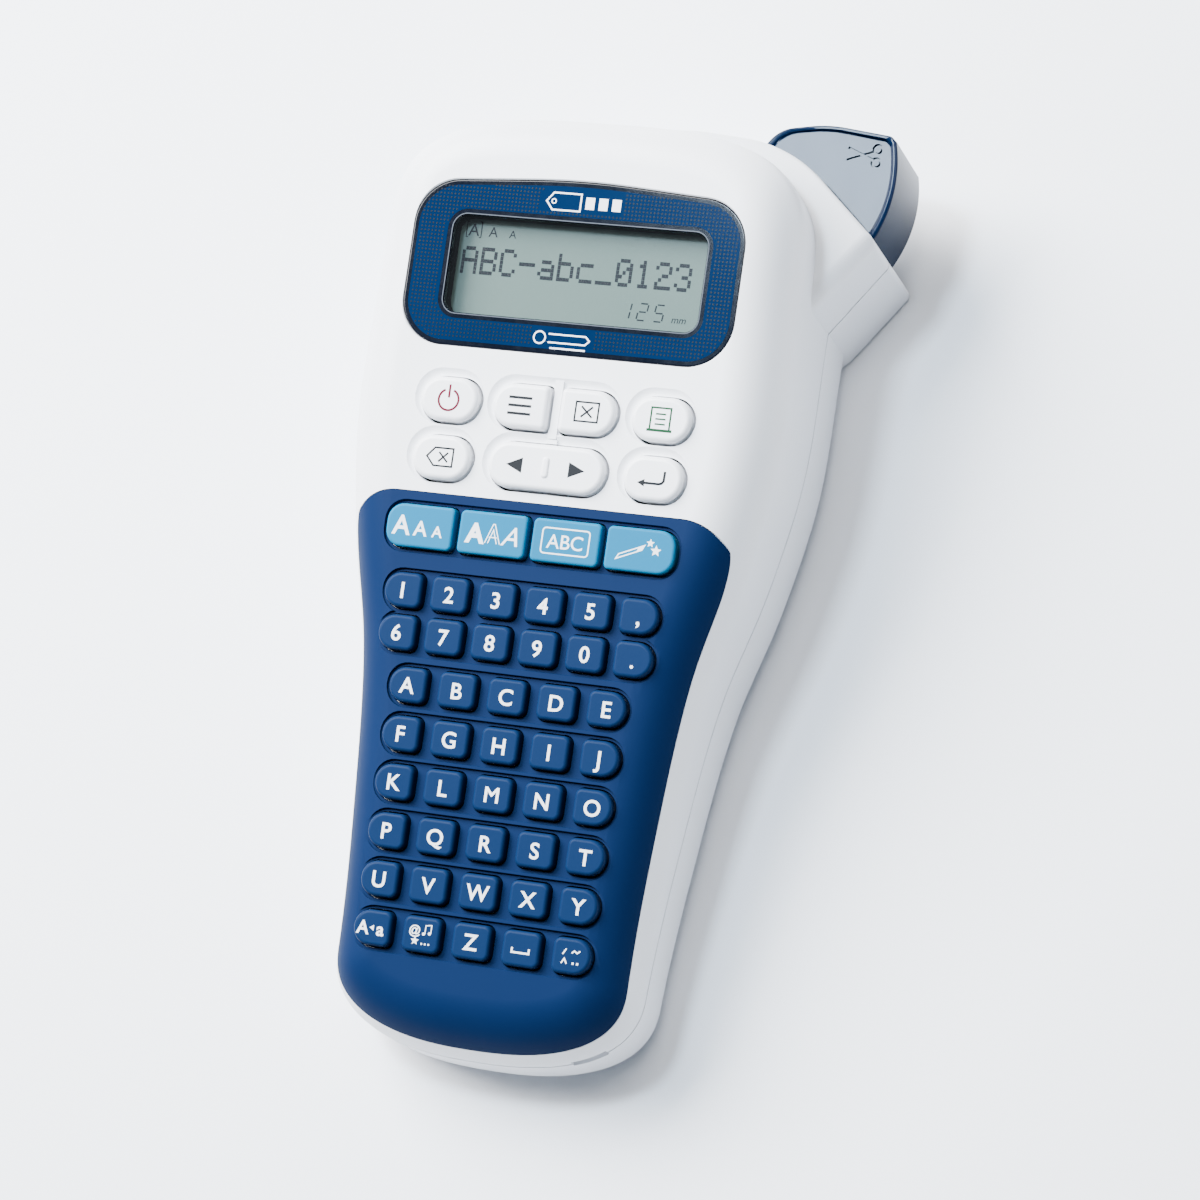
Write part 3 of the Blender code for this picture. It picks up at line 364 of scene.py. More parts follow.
def cut(target, name, lofts, place=WORLD):
    """Cuts closed lofts out of target."""
    return shape(target, ("DIFFERENCE", solid(name, lofts, place)))


def plain_mesh(made):
    """The mesh that an object's modifiers give."""
    bpy.context.view_layer.update()
    evaluated = made.evaluated_get(bpy.context.evaluated_depsgraph_get())
    return bpy.data.meshes.new_from_object(evaluated)


def dress(made, look, body, *nodes, soft=32.0, slot=None):
    """Gives a finished piece its material, smooth shading, CAD body and the nodes that it stands for."""
    made.data.materials.clear()
    made.data.materials.append(look)
    made.data.shade_smooth()
    made.data.set_sharp_from_angle(angle=math.radians(soft))
    weigh = made.modifiers.new("weighted normal", "WEIGHTED_NORMAL")
    weigh.keep_sharp = True
    weigh.weight = 80
    made.data = plain_mesh(made)
    made.modifiers.clear()
    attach(made, body)
    if nodes:
        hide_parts(*nodes)
    return made


# ---------------------------------------------------------------- finishes


class Wire:
    """A node's output that can be used in sums: each operator adds a Math node."""

    def __init__(self, tree, socket):
        self.tree = tree
        self.socket = socket

    def maths(self, operation, *values, clamp=False):
        settings = {"operation": operation, "use_clamp": clamp}
        return self.tree.node("ShaderNodeMath", settings, dict(enumerate(values)))

    def __add__(self, other):
        return self.maths("ADD", self, other)

    def __sub__(self, other):
        return self.maths("SUBTRACT", self, other)

    def __rsub__(self, other):
        return self.maths("SUBTRACT", other, self)

    def __mul__(self, other):
        return self.maths("MULTIPLY", self, other)

    def __truediv__(self, other):
        return self.maths("DIVIDE", self, other)

    def __rtruediv__(self, other):
        return self.maths("DIVIDE", other, self)

    def __gt__(self, other):
        return self.maths("GREATER_THAN", self, other)

    def __lt__(self, other):
        return self.maths("LESS_THAN", self, other)

    __radd__ = __add__
    __rmul__ = __mul__

    def clamped(self):
        return self.maths("ADD", self, 0.0, clamp=True)


class Tree:
    """A node tree for a finish or for Geometry Nodes."""

    def __init__(self, tree):
        self.tree = tree

    def node(self, kind, settings=None, values=None, out=0):
        """Any node: its settings first, then the values or links of its sockets."""
        made = self.tree.nodes.new(kind)
        for name, value in (settings or {}).items():
            if name == "stops":
                for element, (position, colour) in zip(made.color_ramp.elements, value):
                    element.position = position
                    element.color = colour
            else:
                setattr(made, name, value)
        for name, value in (values or {}).items():
            self.feed(made.inputs[name], value)
        return Wire(self, made.outputs[out])

    def feed(self, socket, value):
        if isinstance(value, Wire):
            self.tree.links.new(value.socket, socket)
        else:
            socket.default_value = value

    def mix(self, amount, first, second):
        """A blend of two colours."""
        first = (*first, 1.0) if isinstance(first, tuple) else first
        second = (*second, 1.0) if isinstance(second, tuple) else second
        return self.node("ShaderNodeMix", {"data_type": "RGBA"}, {0: amount, 6: first, 7: second}, out=2)


class Finish(Tree):
    """A material under construction, with the patterns that moulded and metal parts share."""

    def __init__(self, name, **uniform):
        self.material = bpy.data.materials.new(name)
        self.material.use_nodes = True
        super().__init__(self.material.node_tree)
        self.shader = self.tree.nodes["Principled BSDF"]
        for socket, value in uniform.items():
            self.shader.inputs[socket.replace("_", " ").title().replace("Ior", "IOR")].default_value = value
        self.place = self.node("ShaderNodeTexCoord", out=3)

    def noise(self, scale, detail=3.0, stretch=(1.0, 1.0, 1.0)):
        """Fine random grain: scale is in features per metre."""
        where = self.node("ShaderNodeMapping", None, {"Vector": self.place, "Scale": stretch})
        return self.node("ShaderNodeTexNoise", None, {"Vector": where, "Scale": scale, "Detail": detail})

    def edges(self, radius, gain):
        """A mask of worn outer edges."""
        bevel = self.node("ShaderNodeBevel", {"samples": 4}, {"Radius": radius * MM})
        true = self.node("ShaderNodeNewGeometry", out=1)
        along = self.node("ShaderNodeVectorMath", {"operation": "DOT_PRODUCT"}, {0: bevel, 1: true}, out=1)
        return ((1.0 - along) * gain).clamped()

    def bump(self, height, depth, base=None):
        """Surface relief: depth in millimetres."""
        values = {"Height": height, "Distance": depth * MM, "Strength": 1.0}
        if base:
            values["Normal"] = base
        return self.node("ShaderNodeBump", None, values)

    def done(self, colour, roughness, normal=None):
        self.feed(self.shader.inputs["Base Color"], colour)
        self.feed(self.shader.inputs["Roughness"], roughness)
        if normal:
            self.feed(self.shader.inputs["Normal"], normal)
        return self.material


class Scatter(Tree):
    """A Geometry Nodes tree that sets out copies of one thing, under named inputs."""

    def __init__(self, name, **kinds):
        super().__init__(bpy.data.node_groups.new(name, "GeometryNodeTree"))
        for label, kind in {"Geometry": "Geometry", **kinds}.items():
            self.tree.interface.new_socket(label, in_out="INPUT", socket_type=f"NodeSocket{kind}")
        self.tree.interface.new_socket("Geometry", in_out="OUTPUT", socket_type="NodeSocketGeometry")
        self.given = self.tree.nodes.new("NodeGroupInput")

    def value(self, label):
        return Wire(self, self.given.outputs[label])

    def copies(self, points, thing, look, **more):
        """Copies of thing on the points, as real geometry in one material."""
        placed = self.node("GeometryNodeInstanceOnPoints", None, {"Points": points, "Instance": thing, **more})
        plain = self.node("GeometryNodeRealizeInstances", None, {"Geometry": placed})
        painted = self.node("GeometryNodeSetMaterial", None, {"Geometry": plain, "Material": look})
        self.feed(self.tree.nodes.new("NodeGroupOutput").inputs[0], painted)

    def grow(self, made, **values):
        """Runs the tree on an object and keeps what it gives as a plain mesh."""
        modifier = made.modifiers.new(self.tree.name, "NODES")
        modifier.node_group = self.tree
        for item in self.tree.interface.items_tree:
            if item.in_out == "INPUT" and item.name in values:
                modifier[item.identifier] = values[item.name]
        made.data = plain_mesh(made)
        made.modifiers.clear()


def moulded(name, colour, roughness, worn, grain=(2600.0, 0.004), haze=0.03, **uniform):
    """Moulded plastic: spark-eroded grain, faint clouding, handling marks and slightly polished edges."""
    look = Finish(name, **uniform)
    clouds = look.noise(45.0, 4.0)
    smears = look.noise(160.0, 5.0, (1.0, 0.35, 1.0))
    grit = look.noise(grain[0], 2.0)
    edge = look.edges(0.35, 2.5)
    darker = tuple(c * (1.0 - haze) for c in colour)
    lighter = tuple(min(c * (1.0 + haze), 1.0) for c in colour)
    body = look.mix(clouds, darker, lighter)
    body = look.mix((grit - 0.5) * 0.25 + 0.1, body, worn)
    paint = look.mix(edge * 0.3, body, worn)
    rough = roughness + (smears - 0.5) * 0.12 + (grit - 0.5) * 0.06 - edge * 0.08
    return look.done(paint, rough, look.bump(grit, grain[1]))


def rolled_metal(name, colour, roughness, direction=(1.0, 12.0, 1.0)):
    """Plain metal with rolling lines and faint stains."""
    look = Finish(name, metallic=1.0)
    lines = look.noise(500.0, 4.0, direction)
    stains = look.noise(70.0, 4.0)
    edge = look.edges(0.25, 3.0)
    dull = tuple(c * 0.72 for c in colour)
    bright = tuple(min(c * 1.25, 1.0) for c in colour)
    paint = look.mix(edge * 0.5, look.mix(stains, dull, colour), bright)
    return look.done(paint, roughness + (lines - 0.5) * 0.3, look.bump(lines, 0.01))


def window_ink():
    """The window's blue print under clear gloss."""
    look = Finish("window_blue_print", specular_ior_level=0.06)
    cloud = look.noise(60.0, 3.0)
    dust = (look.noise(3000.0, 2.0) - 0.55) * 0.8
    paint = look.mix(cloud, (0.0003, 0.0092, 0.034), (0.0004, 0.011, 0.041))
    paint = look.mix(dust.clamped(), paint, (0.003, 0.018, 0.055))
    return look.done(paint, 0.1 + cloud * 0.05, look.bump(cloud, 0.002))


def liquid_crystal():
    """The reflective display panel: grey-green with a fine electrode grid."""
    look = Finish("liquid_crystal", specular_ior_level=0.2)
    cloud = look.noise(90.0, 4.0)
    grain = look.noise(1500.0, 3.0)
    paint = look.mix(cloud, (0.064, 0.107, 0.095), (0.076, 0.121, 0.107))
    paint = look.mix((grain - 0.5) * 0.5 + 0.1, paint, (0.055, 0.09, 0.082))
    return look.done(paint, 0.32 + grain * 0.1, look.bump(grain, 0.002))


def circuit_board():
    """Green solder mask with tracks and pads."""
    look = Finish("circuit_board_mask", coat_weight=0.4)
    values = {"Vector": look.place, "Scale": 420.0}
    track = look.node("ShaderNodeTexVoronoi", {"distance": "MANHATTAN"}, values) < 0.18
    cloud = look.noise(80.0)
    paint = look.mix(cloud, (0.001, 0.02, 0.007), (0.002, 0.032, 0.011))
    paint = look.mix(track, paint, (0.015, 0.09, 0.035))
    return look.done(paint, 0.42 - track * 0.12, look.bump(track, 0.03))


def cell_wrap():
    """Shrink wrap on a cell: a silver-grey sleeve with a green band at its plus end."""
    look = Finish("cell_wrap_print", coat_weight=0.5)
    across = look.node("ShaderNodeSeparateXYZ", None, {"Vector": look.place})
    band = across.maths("ABSOLUTE", across) > 0.0125
    crinkle = look.noise(260.0, 4.0, (0.3, 1.0, 1.0))
    sleeve = look.mix(crinkle, (0.42, 0.44, 0.46), (0.52, 0.54, 0.56))
    paint = look.mix(band, sleeve, (0.02, 0.22, 0.10))
    return look.done(paint, 0.3 + crinkle * 0.15, look.bump(crinkle, 0.03))


def ink(name, colour, roughness=0.4):
    """Printed ink with a slightly uneven film. It also colours the painted highlight line round the window's glass
    opening.
    """
    look = Finish(name, specular_ior_level=0.1)
    film = look.noise(1800.0, 3.0)
    paint = look.mix(film * 0.5, colour, tuple(c * 0.85 + 0.0006 for c in colour))
    return look.done(paint, roughness + (film - 0.5) * 0.12, look.bump(film, 0.003))


def floor_paper():
    look = Finish("pale_floor")
    fibre = look.noise(900.0, 3.0)
    return look.done(look.mix(fibre, (0.84, 0.86, 0.9), (0.86, 0.88, 0.92)), 0.75 + fibre * 0.05)


def clear_lens():
    """The clear part of the window: almost unseen but for its gloss and a few scuffs."""
    look = Finish("clear_window", alpha=0.05, ior=1.4)
    scuff = look.noise(220.0, 5.0, (1.0, 0.2, 1.0))
    paint = look.mix(scuff, (0.02, 0.024, 0.027), (0.05, 0.055, 0.06))
    return look.done(paint, 0.05 + scuff * 0.06, look.bump(scuff, 0.001))


SATIN = {"specular_ior_level": 0.04}
LOOKS = {
    "shell": moulded("white_shell_plastic", (0.79, 0.80, 0.83), 0.42, (0.87, 0.88, 0.9), haze=0.015),
    "key white": moulded("white_key_plastic", (0.82, 0.83, 0.86), 0.3, (0.9, 0.9, 0.92), (1500.0, 0.002), 0.01),
    "panel": moulded(
        "navy_panel_plastic", (0.0022, 0.0112, 0.044), 0.5, (0.003, 0.0142, 0.052), (2200.0, 0.005), 0.06, **SATIN
    ),
    "key navy": moulded(
        "navy_key_plastic", (0.003, 0.0145, 0.05), 0.4, (0.005, 0.02, 0.062), (1600.0, 0.003), 0.05, **SATIN
    ),
    "turquoise": moulded(
        "turquoise_key_plastic", (0.0008, 0.125, 0.25), 0.3, (0.002, 0.15, 0.27), (1600.0, 0.002), 0.04, **SATIN
    ),
    "lever": moulded(
        "lever_gloss_plastic", (0.001, 0.006, 0.022), 0.1, (0.003, 0.011, 0.034), (900.0, 0.002), 0.08, ior=1.16
    ),
    "window rim": moulded(
        "window_rim_plastic", (0.0006, 0.0016, 0.005), 0.14, (0.003, 0.006, 0.014), (900.0, 0.001), ior=1.3
    ),
    "black frame": moulded(
        "black_frame_plastic", (0.0012, 0.0012, 0.0015), 0.55, (0.003, 0.003, 0.004), (1900.0, 0.003), **SATIN
    ),
    "dark plastic": moulded("dark_moulded_plastic", (0.008, 0.008, 0.009), 0.4, (0.03, 0.03, 0.033)),
    "cassette": moulded("cassette_smoke_plastic", (0.03, 0.03, 0.034), 0.38, (0.08, 0.08, 0.085)),
    "gear": moulded("gear_acetal_plastic", (0.62, 0.61, 0.55), 0.45, (0.75, 0.74, 0.68)),
    "rubber": moulded("rubber_compound", (0.012, 0.012, 0.014), 0.75, (0.035, 0.035, 0.038), (2400.0, 0.012)),
    "board": circuit_board(),
    "steel": rolled_metal("bright_steel", (0.62, 0.62, 0.64), 0.3),
    "zinc": rolled_metal("zinc_plate", (0.52, 0.53, 0.54), 0.42),
    "brass": rolled_metal("turned_brass", (0.72, 0.52, 0.22), 0.3),
    "cell": cell_wrap(),
    "window blue": window_ink(),
    "window dots": ink("window_dot_ink", (0.0001, 0.0008, 0.004), 0.3),
    # Light grey for a painted highlight: the thin ring round the glass opening stands in for light caught on the
    # opening's edge.
    "painted edge highlight": ink("window_edge_ink", (0.06, 0.07, 0.085), 0.25),
    "clear": clear_lens(),
    "liquid crystal": liquid_crystal(),
    "segments": ink("display_segment_ink", (0.003, 0.0055, 0.009), 0.35),
    "white ink": ink("white_legend_ink", (0.80, 0.81, 0.83)),
    "dark ink": ink("dark_legend_ink", (0.006, 0.007, 0.009)),
    "red ink": ink("magenta_legend_ink", (0.10, 0.003, 0.016)),
    "green ink": ink("green_legend_ink", (0.003, 0.045, 0.015)),
}

# ---------------------------------------------------------------- case shells


def envelope_rings(shrink, count=OUTLINE_POINTS, steps=FILLET_STEPS):
    """Rings of the body's outer shape, or of the shape that lies shrink inside it."""
    outline = body_outline(count)
    rings = []
    radius = REAR_FILLET - shrink
    for sine, cosine in quarter_turn(steps):
        rings.append(level(inset(outline, shrink + radius * (1 - sine)), shrink + radius * (1 - cosine)))
    radius = FRONT_FILLET - shrink
    for sine, cosine in quarter_turn(steps):
        depth = (shrink + radius * (1 - sine)) / math.cos(FACE_TILT)
        loop = inset(outline, shrink + radius * (1 - cosine))
        rings.append(level(loop, lambda x, y, d=depth: face_height(y) - d))
    return rings


HOUSING_CORNERS = (
    (40.0, 56.0, 0),
    (47.75, 63.8, 0),
    (*SHOULDER_CORNER, 1.9),
    (38.5, 97.6, 26.0),
    (19.0, 97.4, 20.0),
    (2.0, 95.0, 0),
    (2.0, 80.0, 0),
)
WALL_CORNERS = (
    (40.0, 56.0, 0),
    (47.75, 63.8, 0),
    (63.1, 86.9, 0),
    (63.1, 120.0, 0),
    (-8.0, 120.0, 0),
    (-8.0, 70.0, 0),
)


def housing_rings(shrink, lip, edge=0.0, corners=HOUSING_CORNERS):
    """The shoulder housing that reaches out of the head, or its hollow, with a soft upper edge."""
    rings = [level(rounded(corners, shrink, 12), HOUSING_FLOOR + shrink)]
    for sine, cosine in quarter_turn(EDGE_STEPS) if edge else [(0.0, 1.0)]:
        loop = rounded(corners, shrink + edge * (1 - cosine), 12)
        drop = lip + edge * (1 - sine)
        rings.append(level(loop, lambda x, y, d=drop: shoulder_height(x, y) - d))
    return rings


def housing():
    """The shoulder housing, most rounded along its front wall."""
    whole = solid("housing", [housing_rings(0.0, 0.0, SHOULDER_EDGE)])
    wall = solid("housing wall", [housing_rings(0.0, 0.0, SHOULDER_WALL_EDGE, WALL_CORNERS)])
    return shape(whole, ("INTERSECT", wall))


def case_body(name):
    """The whole hollow case, before it is parted."""
    hollow = solid("hollow", [envelope_rings(CASE_WALL, 100, 5)])
    shape(hollow, ("UNION", solid("housing hollow", [housing_rings(HOUSING_WALL, SHOULDER_LIP)])))
    body = solid(name, [envelope_rings(0.0)])
    return shape(body, ("UNION", housing()), ("DIFFERENCE", hollow))


def slab(low, high):
    """A wide block between two heights over the parting plane."""
    place = Matrix.Translation((0, 0, PARTING_HEIGHT)) @ Matrix.Rotation(PARTING_TILT, 4, "X")
    return solid("slab", [prism(rounded(box_corners((0, 0), (2 * FAR, 2 * FAR))), low, high)], place)


def seam_groove():
    """The shallow moulded groove all round the parting line."""
    height, depth = SEAM_GROOVE
    ring = slab(-height / 2, height / 2)
    core = solid("core", [envelope_rings(depth, 120, 5)])
    shape(core, ("UNION", solid("core housing", [housing_rings(depth, depth)])))
    return shape(ring, ("DIFFERENCE", core))


def lever_slot():
    """The room that the lever swings through."""
    first = LEVER_ARC[0] - LEVER_SWING - math.radians(2.5)
    arc = [polar(PIVOT, LEVER_RADIUS + 0.4, first + math.radians(2.6) * step) for step in range(26)]
    heel = [polar(PIVOT, LEVER_BOSS + 1.4, math.radians(angle)) for angle in range(120, 241, 15)]
    room = prism([Vector(p) for p in arc + heel], LEVER_BOTTOM - 0.4, under_shoulder)
    return solid("lever slot", [room])


def foot_notch():
    """The small notch low on the right of the foot."""
    outline = body_outline()
    foot = [p for p in outline if p.y < FOOT_WIDEST and p.x > 0]
    near = min(foot, key=lambda p: abs(p.x - FOOT_NOTCH_X))
    index = outline.index(near)
    along = outline[index + 1] - outline[index - 1]
    width, height, depth = FOOT_NOTCH
    low = PARTING_HEIGHT + near.y * math.tan(PARTING_TILT)
    place = Matrix.Translation((near.x, near.y, low)) @ Matrix.Rotation(math.atan2(along.y, along.x), 4, "Z")
    block = rounded(box_corners((0, 0), (width, 2 * depth)))
    return solid("foot notch", [prism(block, -height / 2, height / 2)], place)


def key_loop(size, left, right, distance=0.0, steps=7):
    """A key's outline about its centre, with its left and right corner radii."""
    radii = (left, right, right, left)
    corners = [(x, y, r) for (x, y, _), r in zip(box_corners((0, 0), size), radii)]
    return rounded(corners, distance, steps)


def full_round(size):
    """The corner radius that makes an end of a key a half circle."""
    return size[1] / 2 - 0.1


def white_keys():
    """(name, x, y, size, left radius, right radius) of each white key."""
    end, long_end = full_round(WHITE_KEY), full_round(CURSOR_KEY)
    pair = (PAIR_WIDTH, WHITE_KEY[1])
    upper, lower = WHITE_ROWS
    left, middle, right = WHITE_COLUMNS
    return [
        ("power_key", left, upper, WHITE_KEY, end, end),
        ("menu_key", PAIR_MIDDLE - PAIR_OFFSET, upper, pair, end, SQUARE_END),
        ("escape_key", PAIR_MIDDLE + PAIR_OFFSET, upper, pair, SQUARE_END, end),
        ("print_key", right, upper, WHITE_KEY, end, end),
        ("backspace_key", left, lower, WHITE_KEY, end, end),
        ("cursor_key", middle, lower, CURSOR_KEY, long_end, long_end),
        ("enter_key", right, lower, WHITE_KEY, end, end),
    ]


def key_row(names, y, pitch, size, round_end, square_end):
    """A row of keys about the keypad's centre line, round at its two ends."""
    last = len(names) - 1
    row = []
    for index, name in enumerate(names):
        x = KEYPAD_CENTRE + (index - last / 2) * pitch
        left = round_end if index == 0 else square_end
        right = round_end if index == last else square_end
        row.append((name, x, y, size, left, right))
    return row


def turquoise_keys():
    names = ["text_size_key", "text_style_key", "text_frame_key", "decoration_key"]
    return key_row(names, TURQUOISE_ROW, TURQUOISE_PITCH, TURQUOISE_KEY, 3.6, SQUARE_END)


def small_rows():
    """Each row of number and letter keys, by the name of its node."""
    rows = {}
    for kind, heights, count, pitch in (
        ("number", NUMBER_ROWS, 6, NUMBER_PITCH),
        ("letter", LETTER_ROWS, 5, LETTER_PITCH),
    ):
        for index, y in enumerate(heights):
            row = key_row(range(count), y, pitch, SMALL_KEY, full_round(SMALL_KEY), 1.6)
            rows[f"{kind}_keys_row_{index + 1}"] = row
    return rows


def blue_rows():
    """The rows of keys that stand in the navy panel."""
    return [turquoise_keys(), *small_rows().values()]


def row_outline(row, grow):
    """One long outline round a whole row of keys."""
    _, first, y, size, radius, _ = row[0]
    last = row[-1][1]
    loop = key_loop((last - first + size[0], size[1]), radius, radius, -grow)
    return shift(loop, (first + last) / 2, y)


def dish_rings(size, left, right):
    """The wide shallow dish around a white key, deepest at the key, with a soft upper edge."""
    rings = []
    for reach, height in DISH_PROFILE:
        share = reach / DISH_REACH
        loop = key_loop(size, left, right, -reach)
        rings.append(level(shift(loop, DISH_SHIFT[0] * share, DISH_SHIFT[1] * share), height))
    return rings


def moved(rings, x, y):
    return [[(px + x, py + y, pz) for px, py, pz in ring] for ring in rings]


def key_wells(keys, low, fit=KEY_FIT, lean=(0.0, 0.0)):
    """Holes for keys, which may sit a little off the middle."""
    wells = []
    for _, x, y, size, left, right in keys:
        hole = [level(key_loop(size, left, right, -fit), z) for z in (low, 3.0)]
        wells.append(moved(hole, x + lean[0], y + lean[1]))
    return wells


def key_dishes():
    """All the dishes. A level bridge parts the one that menu and escape share, and the cursor's has tabs."""
    length = 2 * PAIR_OFFSET + PAIR_WIDTH
    end = full_round(WHITE_KEY)
    lofts = [moved(dish_rings((length, WHITE_KEY[1]), end, end), PAIR_MIDDLE, WHITE_ROWS[0])]
    for name, x, y, size, left, right in white_keys():
        if name not in ("menu_key", "escape_key"):
            lofts.append(moved(dish_rings(size, left, right), x, y))
    bridges = []
    gap = 2 * PAIR_OFFSET - PAIR_WIDTH - 2 * KEY_FIT
    for x, y, width in ((PAIR_MIDDLE, WHITE_ROWS[0], gap), (WHITE_COLUMNS[1], WHITE_ROWS[1], CURSOR_TAB)):
        bridges.append(prism(rounded(box_corners((x, y), (width, BRIDGE_LENGTH))), -3.0, 3.0))
    return cut(solid("dishes", lofts, FACE), "bridges", bridges, FACE)


def window_loop(distance=0.0):
    """The window's outline, with a gently arched top."""
    side, half = WINDOW_SIZE[0] / 2, WINDOW_SIZE[1] / 2
    low, shoulder = WINDOW_CENTRE - half, WINDOW_CENTRE + half - WINDOW_ARCH
    corners = [(-side, low, WINDOW_CORNER), (side, low, WINDOW_CORNER), (side, shoulder, WINDOW_CORNER)]
    corners += [(0, shoulder + 1.2 * WINDOW_ARCH, WINDOW_ARCH_RADIUS), (-side, shoulder, WINDOW_CORNER)]
    return rounded(corners, distance, 12)


def glass_loop(distance=0.0):
    return rounded(box_corners(GLASS_CENTRE, GLASS_SIZE, GLASS_CORNER), distance, 8)


def panel_block(grow):
    """The block that the panel is cut out with. Its upper corners are round from the front and the side."""
    radius = PANEL_CORNER
    shoulder = PANEL_TOP + grow - radius
    waist = side_width(PANEL_TOP) + grow
    stations = [(FOOT_END - 4, waist)]
    stations += [(shoulder - reach, waist) for reach in range(10, 0, -1)]
    stations += [(shoulder + radius * a, waist - radius * (1 - b)) for a, b in quarter_turn(24)]
    rings = []
    for y, half in stations:
        along = min(max((y - PANEL_RISE[0]) / (PANEL_RISE[1] - PANEL_RISE[0]), 0.0), 1.0)
        depth = PANEL_RISE_DEPTH + (PANEL_DEPTH - PANEL_RISE_DEPTH) * math.sqrt(1 - along**2)
        low = face_height(y) - (depth + grow) / math.cos(FACE_TILT)
        high = face_height(y) + 5
        rings.append([(-half, y, low), (half, y, low), (half, y, high), (-half, y, high)])
    return solid("panel block", [rings])


def half_shell(name, low, high):
    """The case between two heights over the parting plane, with its groove, lever slot and foot notch."""
    shell = shape(case_body(name), ("INTERSECT", slab(low, high)))
    return shape(shell, *(("DIFFERENCE", tool()) for tool in (seam_groove, lever_slot, foot_notch)))


def front_shell():
    """The white front half."""
    shell = half_shell("front_shell", SEAM / 2, FAR)
    bed = cut(panel_block(PART_GAP * 0.5), "bed floor", [envelope_rings(PANEL_THICKNESS + PART_GAP, 120, 6)])
    shape(shell, ("DIFFERENCE", bed))
    shape(shell, ("DIFFERENCE", key_dishes()))
    holes = key_wells(white_keys(), -CASE_WALL - 3, WHITE_KEY_FIT, WHITE_KEY_LEAN)
    holes += [prism(row_outline(row, KEY_FIT), -CASE_WALL - 3, 3.0) for row in blue_rows()]
    holes.append(prism(glass_loop(-FRAME_RIM - PART_GAP), -CASE_WALL - 2, 0.0))
    cut(shell, "holes", holes, FACE)
    window_floor = -WINDOW_THICKNESS - 2 * PART_GAP
    edge = ((-0.12, window_floor), (-0.12, -0.25), (-0.42, 0.05))
    cut(shell, "window bed", [[level(window_loop(d), z) for d, z in edge]], FACE)
    dress(shell, LOOKS["shell"], "case", "front_case", slot="white_plastic")


def rear_shell():
    """The white rear half, open at the back for the cover."""
    shell = half_shell("rear_shell", -FAR, -SEAM / 2)
    opening = inset(body_outline(), COVER_RIM - COVER_FIT)
    recesses = [prism(opening, -1.0, CASE_WALL + 1.0)]
    recesses += [prism(circle(place, SCREW_RECESS), -1.0, 2.0) for place in SCREWS]
    cut(shell, "recesses", recesses)
    dress(shell, LOOKS["shell"], "case", "rear_case", slot="white_plastic")


def keypad_skin():
    """The navy panel over the grip, with a recess along each row of keys."""
    skin = solid("keypad_skin", [envelope_rings(0.0)])
    cut(skin, "underside", [envelope_rings(PANEL_THICKNESS, 120, 6)])
    shape(skin, ("INTERSECT", panel_block(0.0)))
    edge = ((0.0, -ROW_RECESS), (0.0, -0.22), (0.08, -0.06), (0.3, 0.4))
    recesses = [[level(row_outline(row, ROW_MARGIN + d), z) for d, z in edge] for row in blue_rows()]
    cut(skin, "row recesses", recesses, FACE)
    keys = [key for row in blue_rows() for key in row]
    cut(skin, "key holes", key_wells(keys, -CASE_WALL - 3), FACE)
    dress(skin, LOOKS["panel"], "case", "keypad_panel", slot="navy_plastic")


# ---------------------------------------------------------------- keys


def cap_rings(size, left, right, rise, soft, bottom=KEY_BOTTOM):
    """A key cap with straight sides and a soft upper edge."""
    rings = [level(key_loop(size, left, right), bottom)]
    for sine, cosine in quarter_turn(EDGE_STEPS):
        rings.append(level(key_loop(size, left, right, soft * (1 - cosine)), rise - soft * (1 - sine)))
    return rings


def thicken(tool):
    """Extrudes a flat shape in place, and gives the vertices of its new side."""
    grown = bmesh.ops.extrude_face_region(tool, geom=tool.faces[:], use_keep_orig=True)
    return {v for v in grown["geom"] if isinstance(v, bmesh.types.BMVert)}


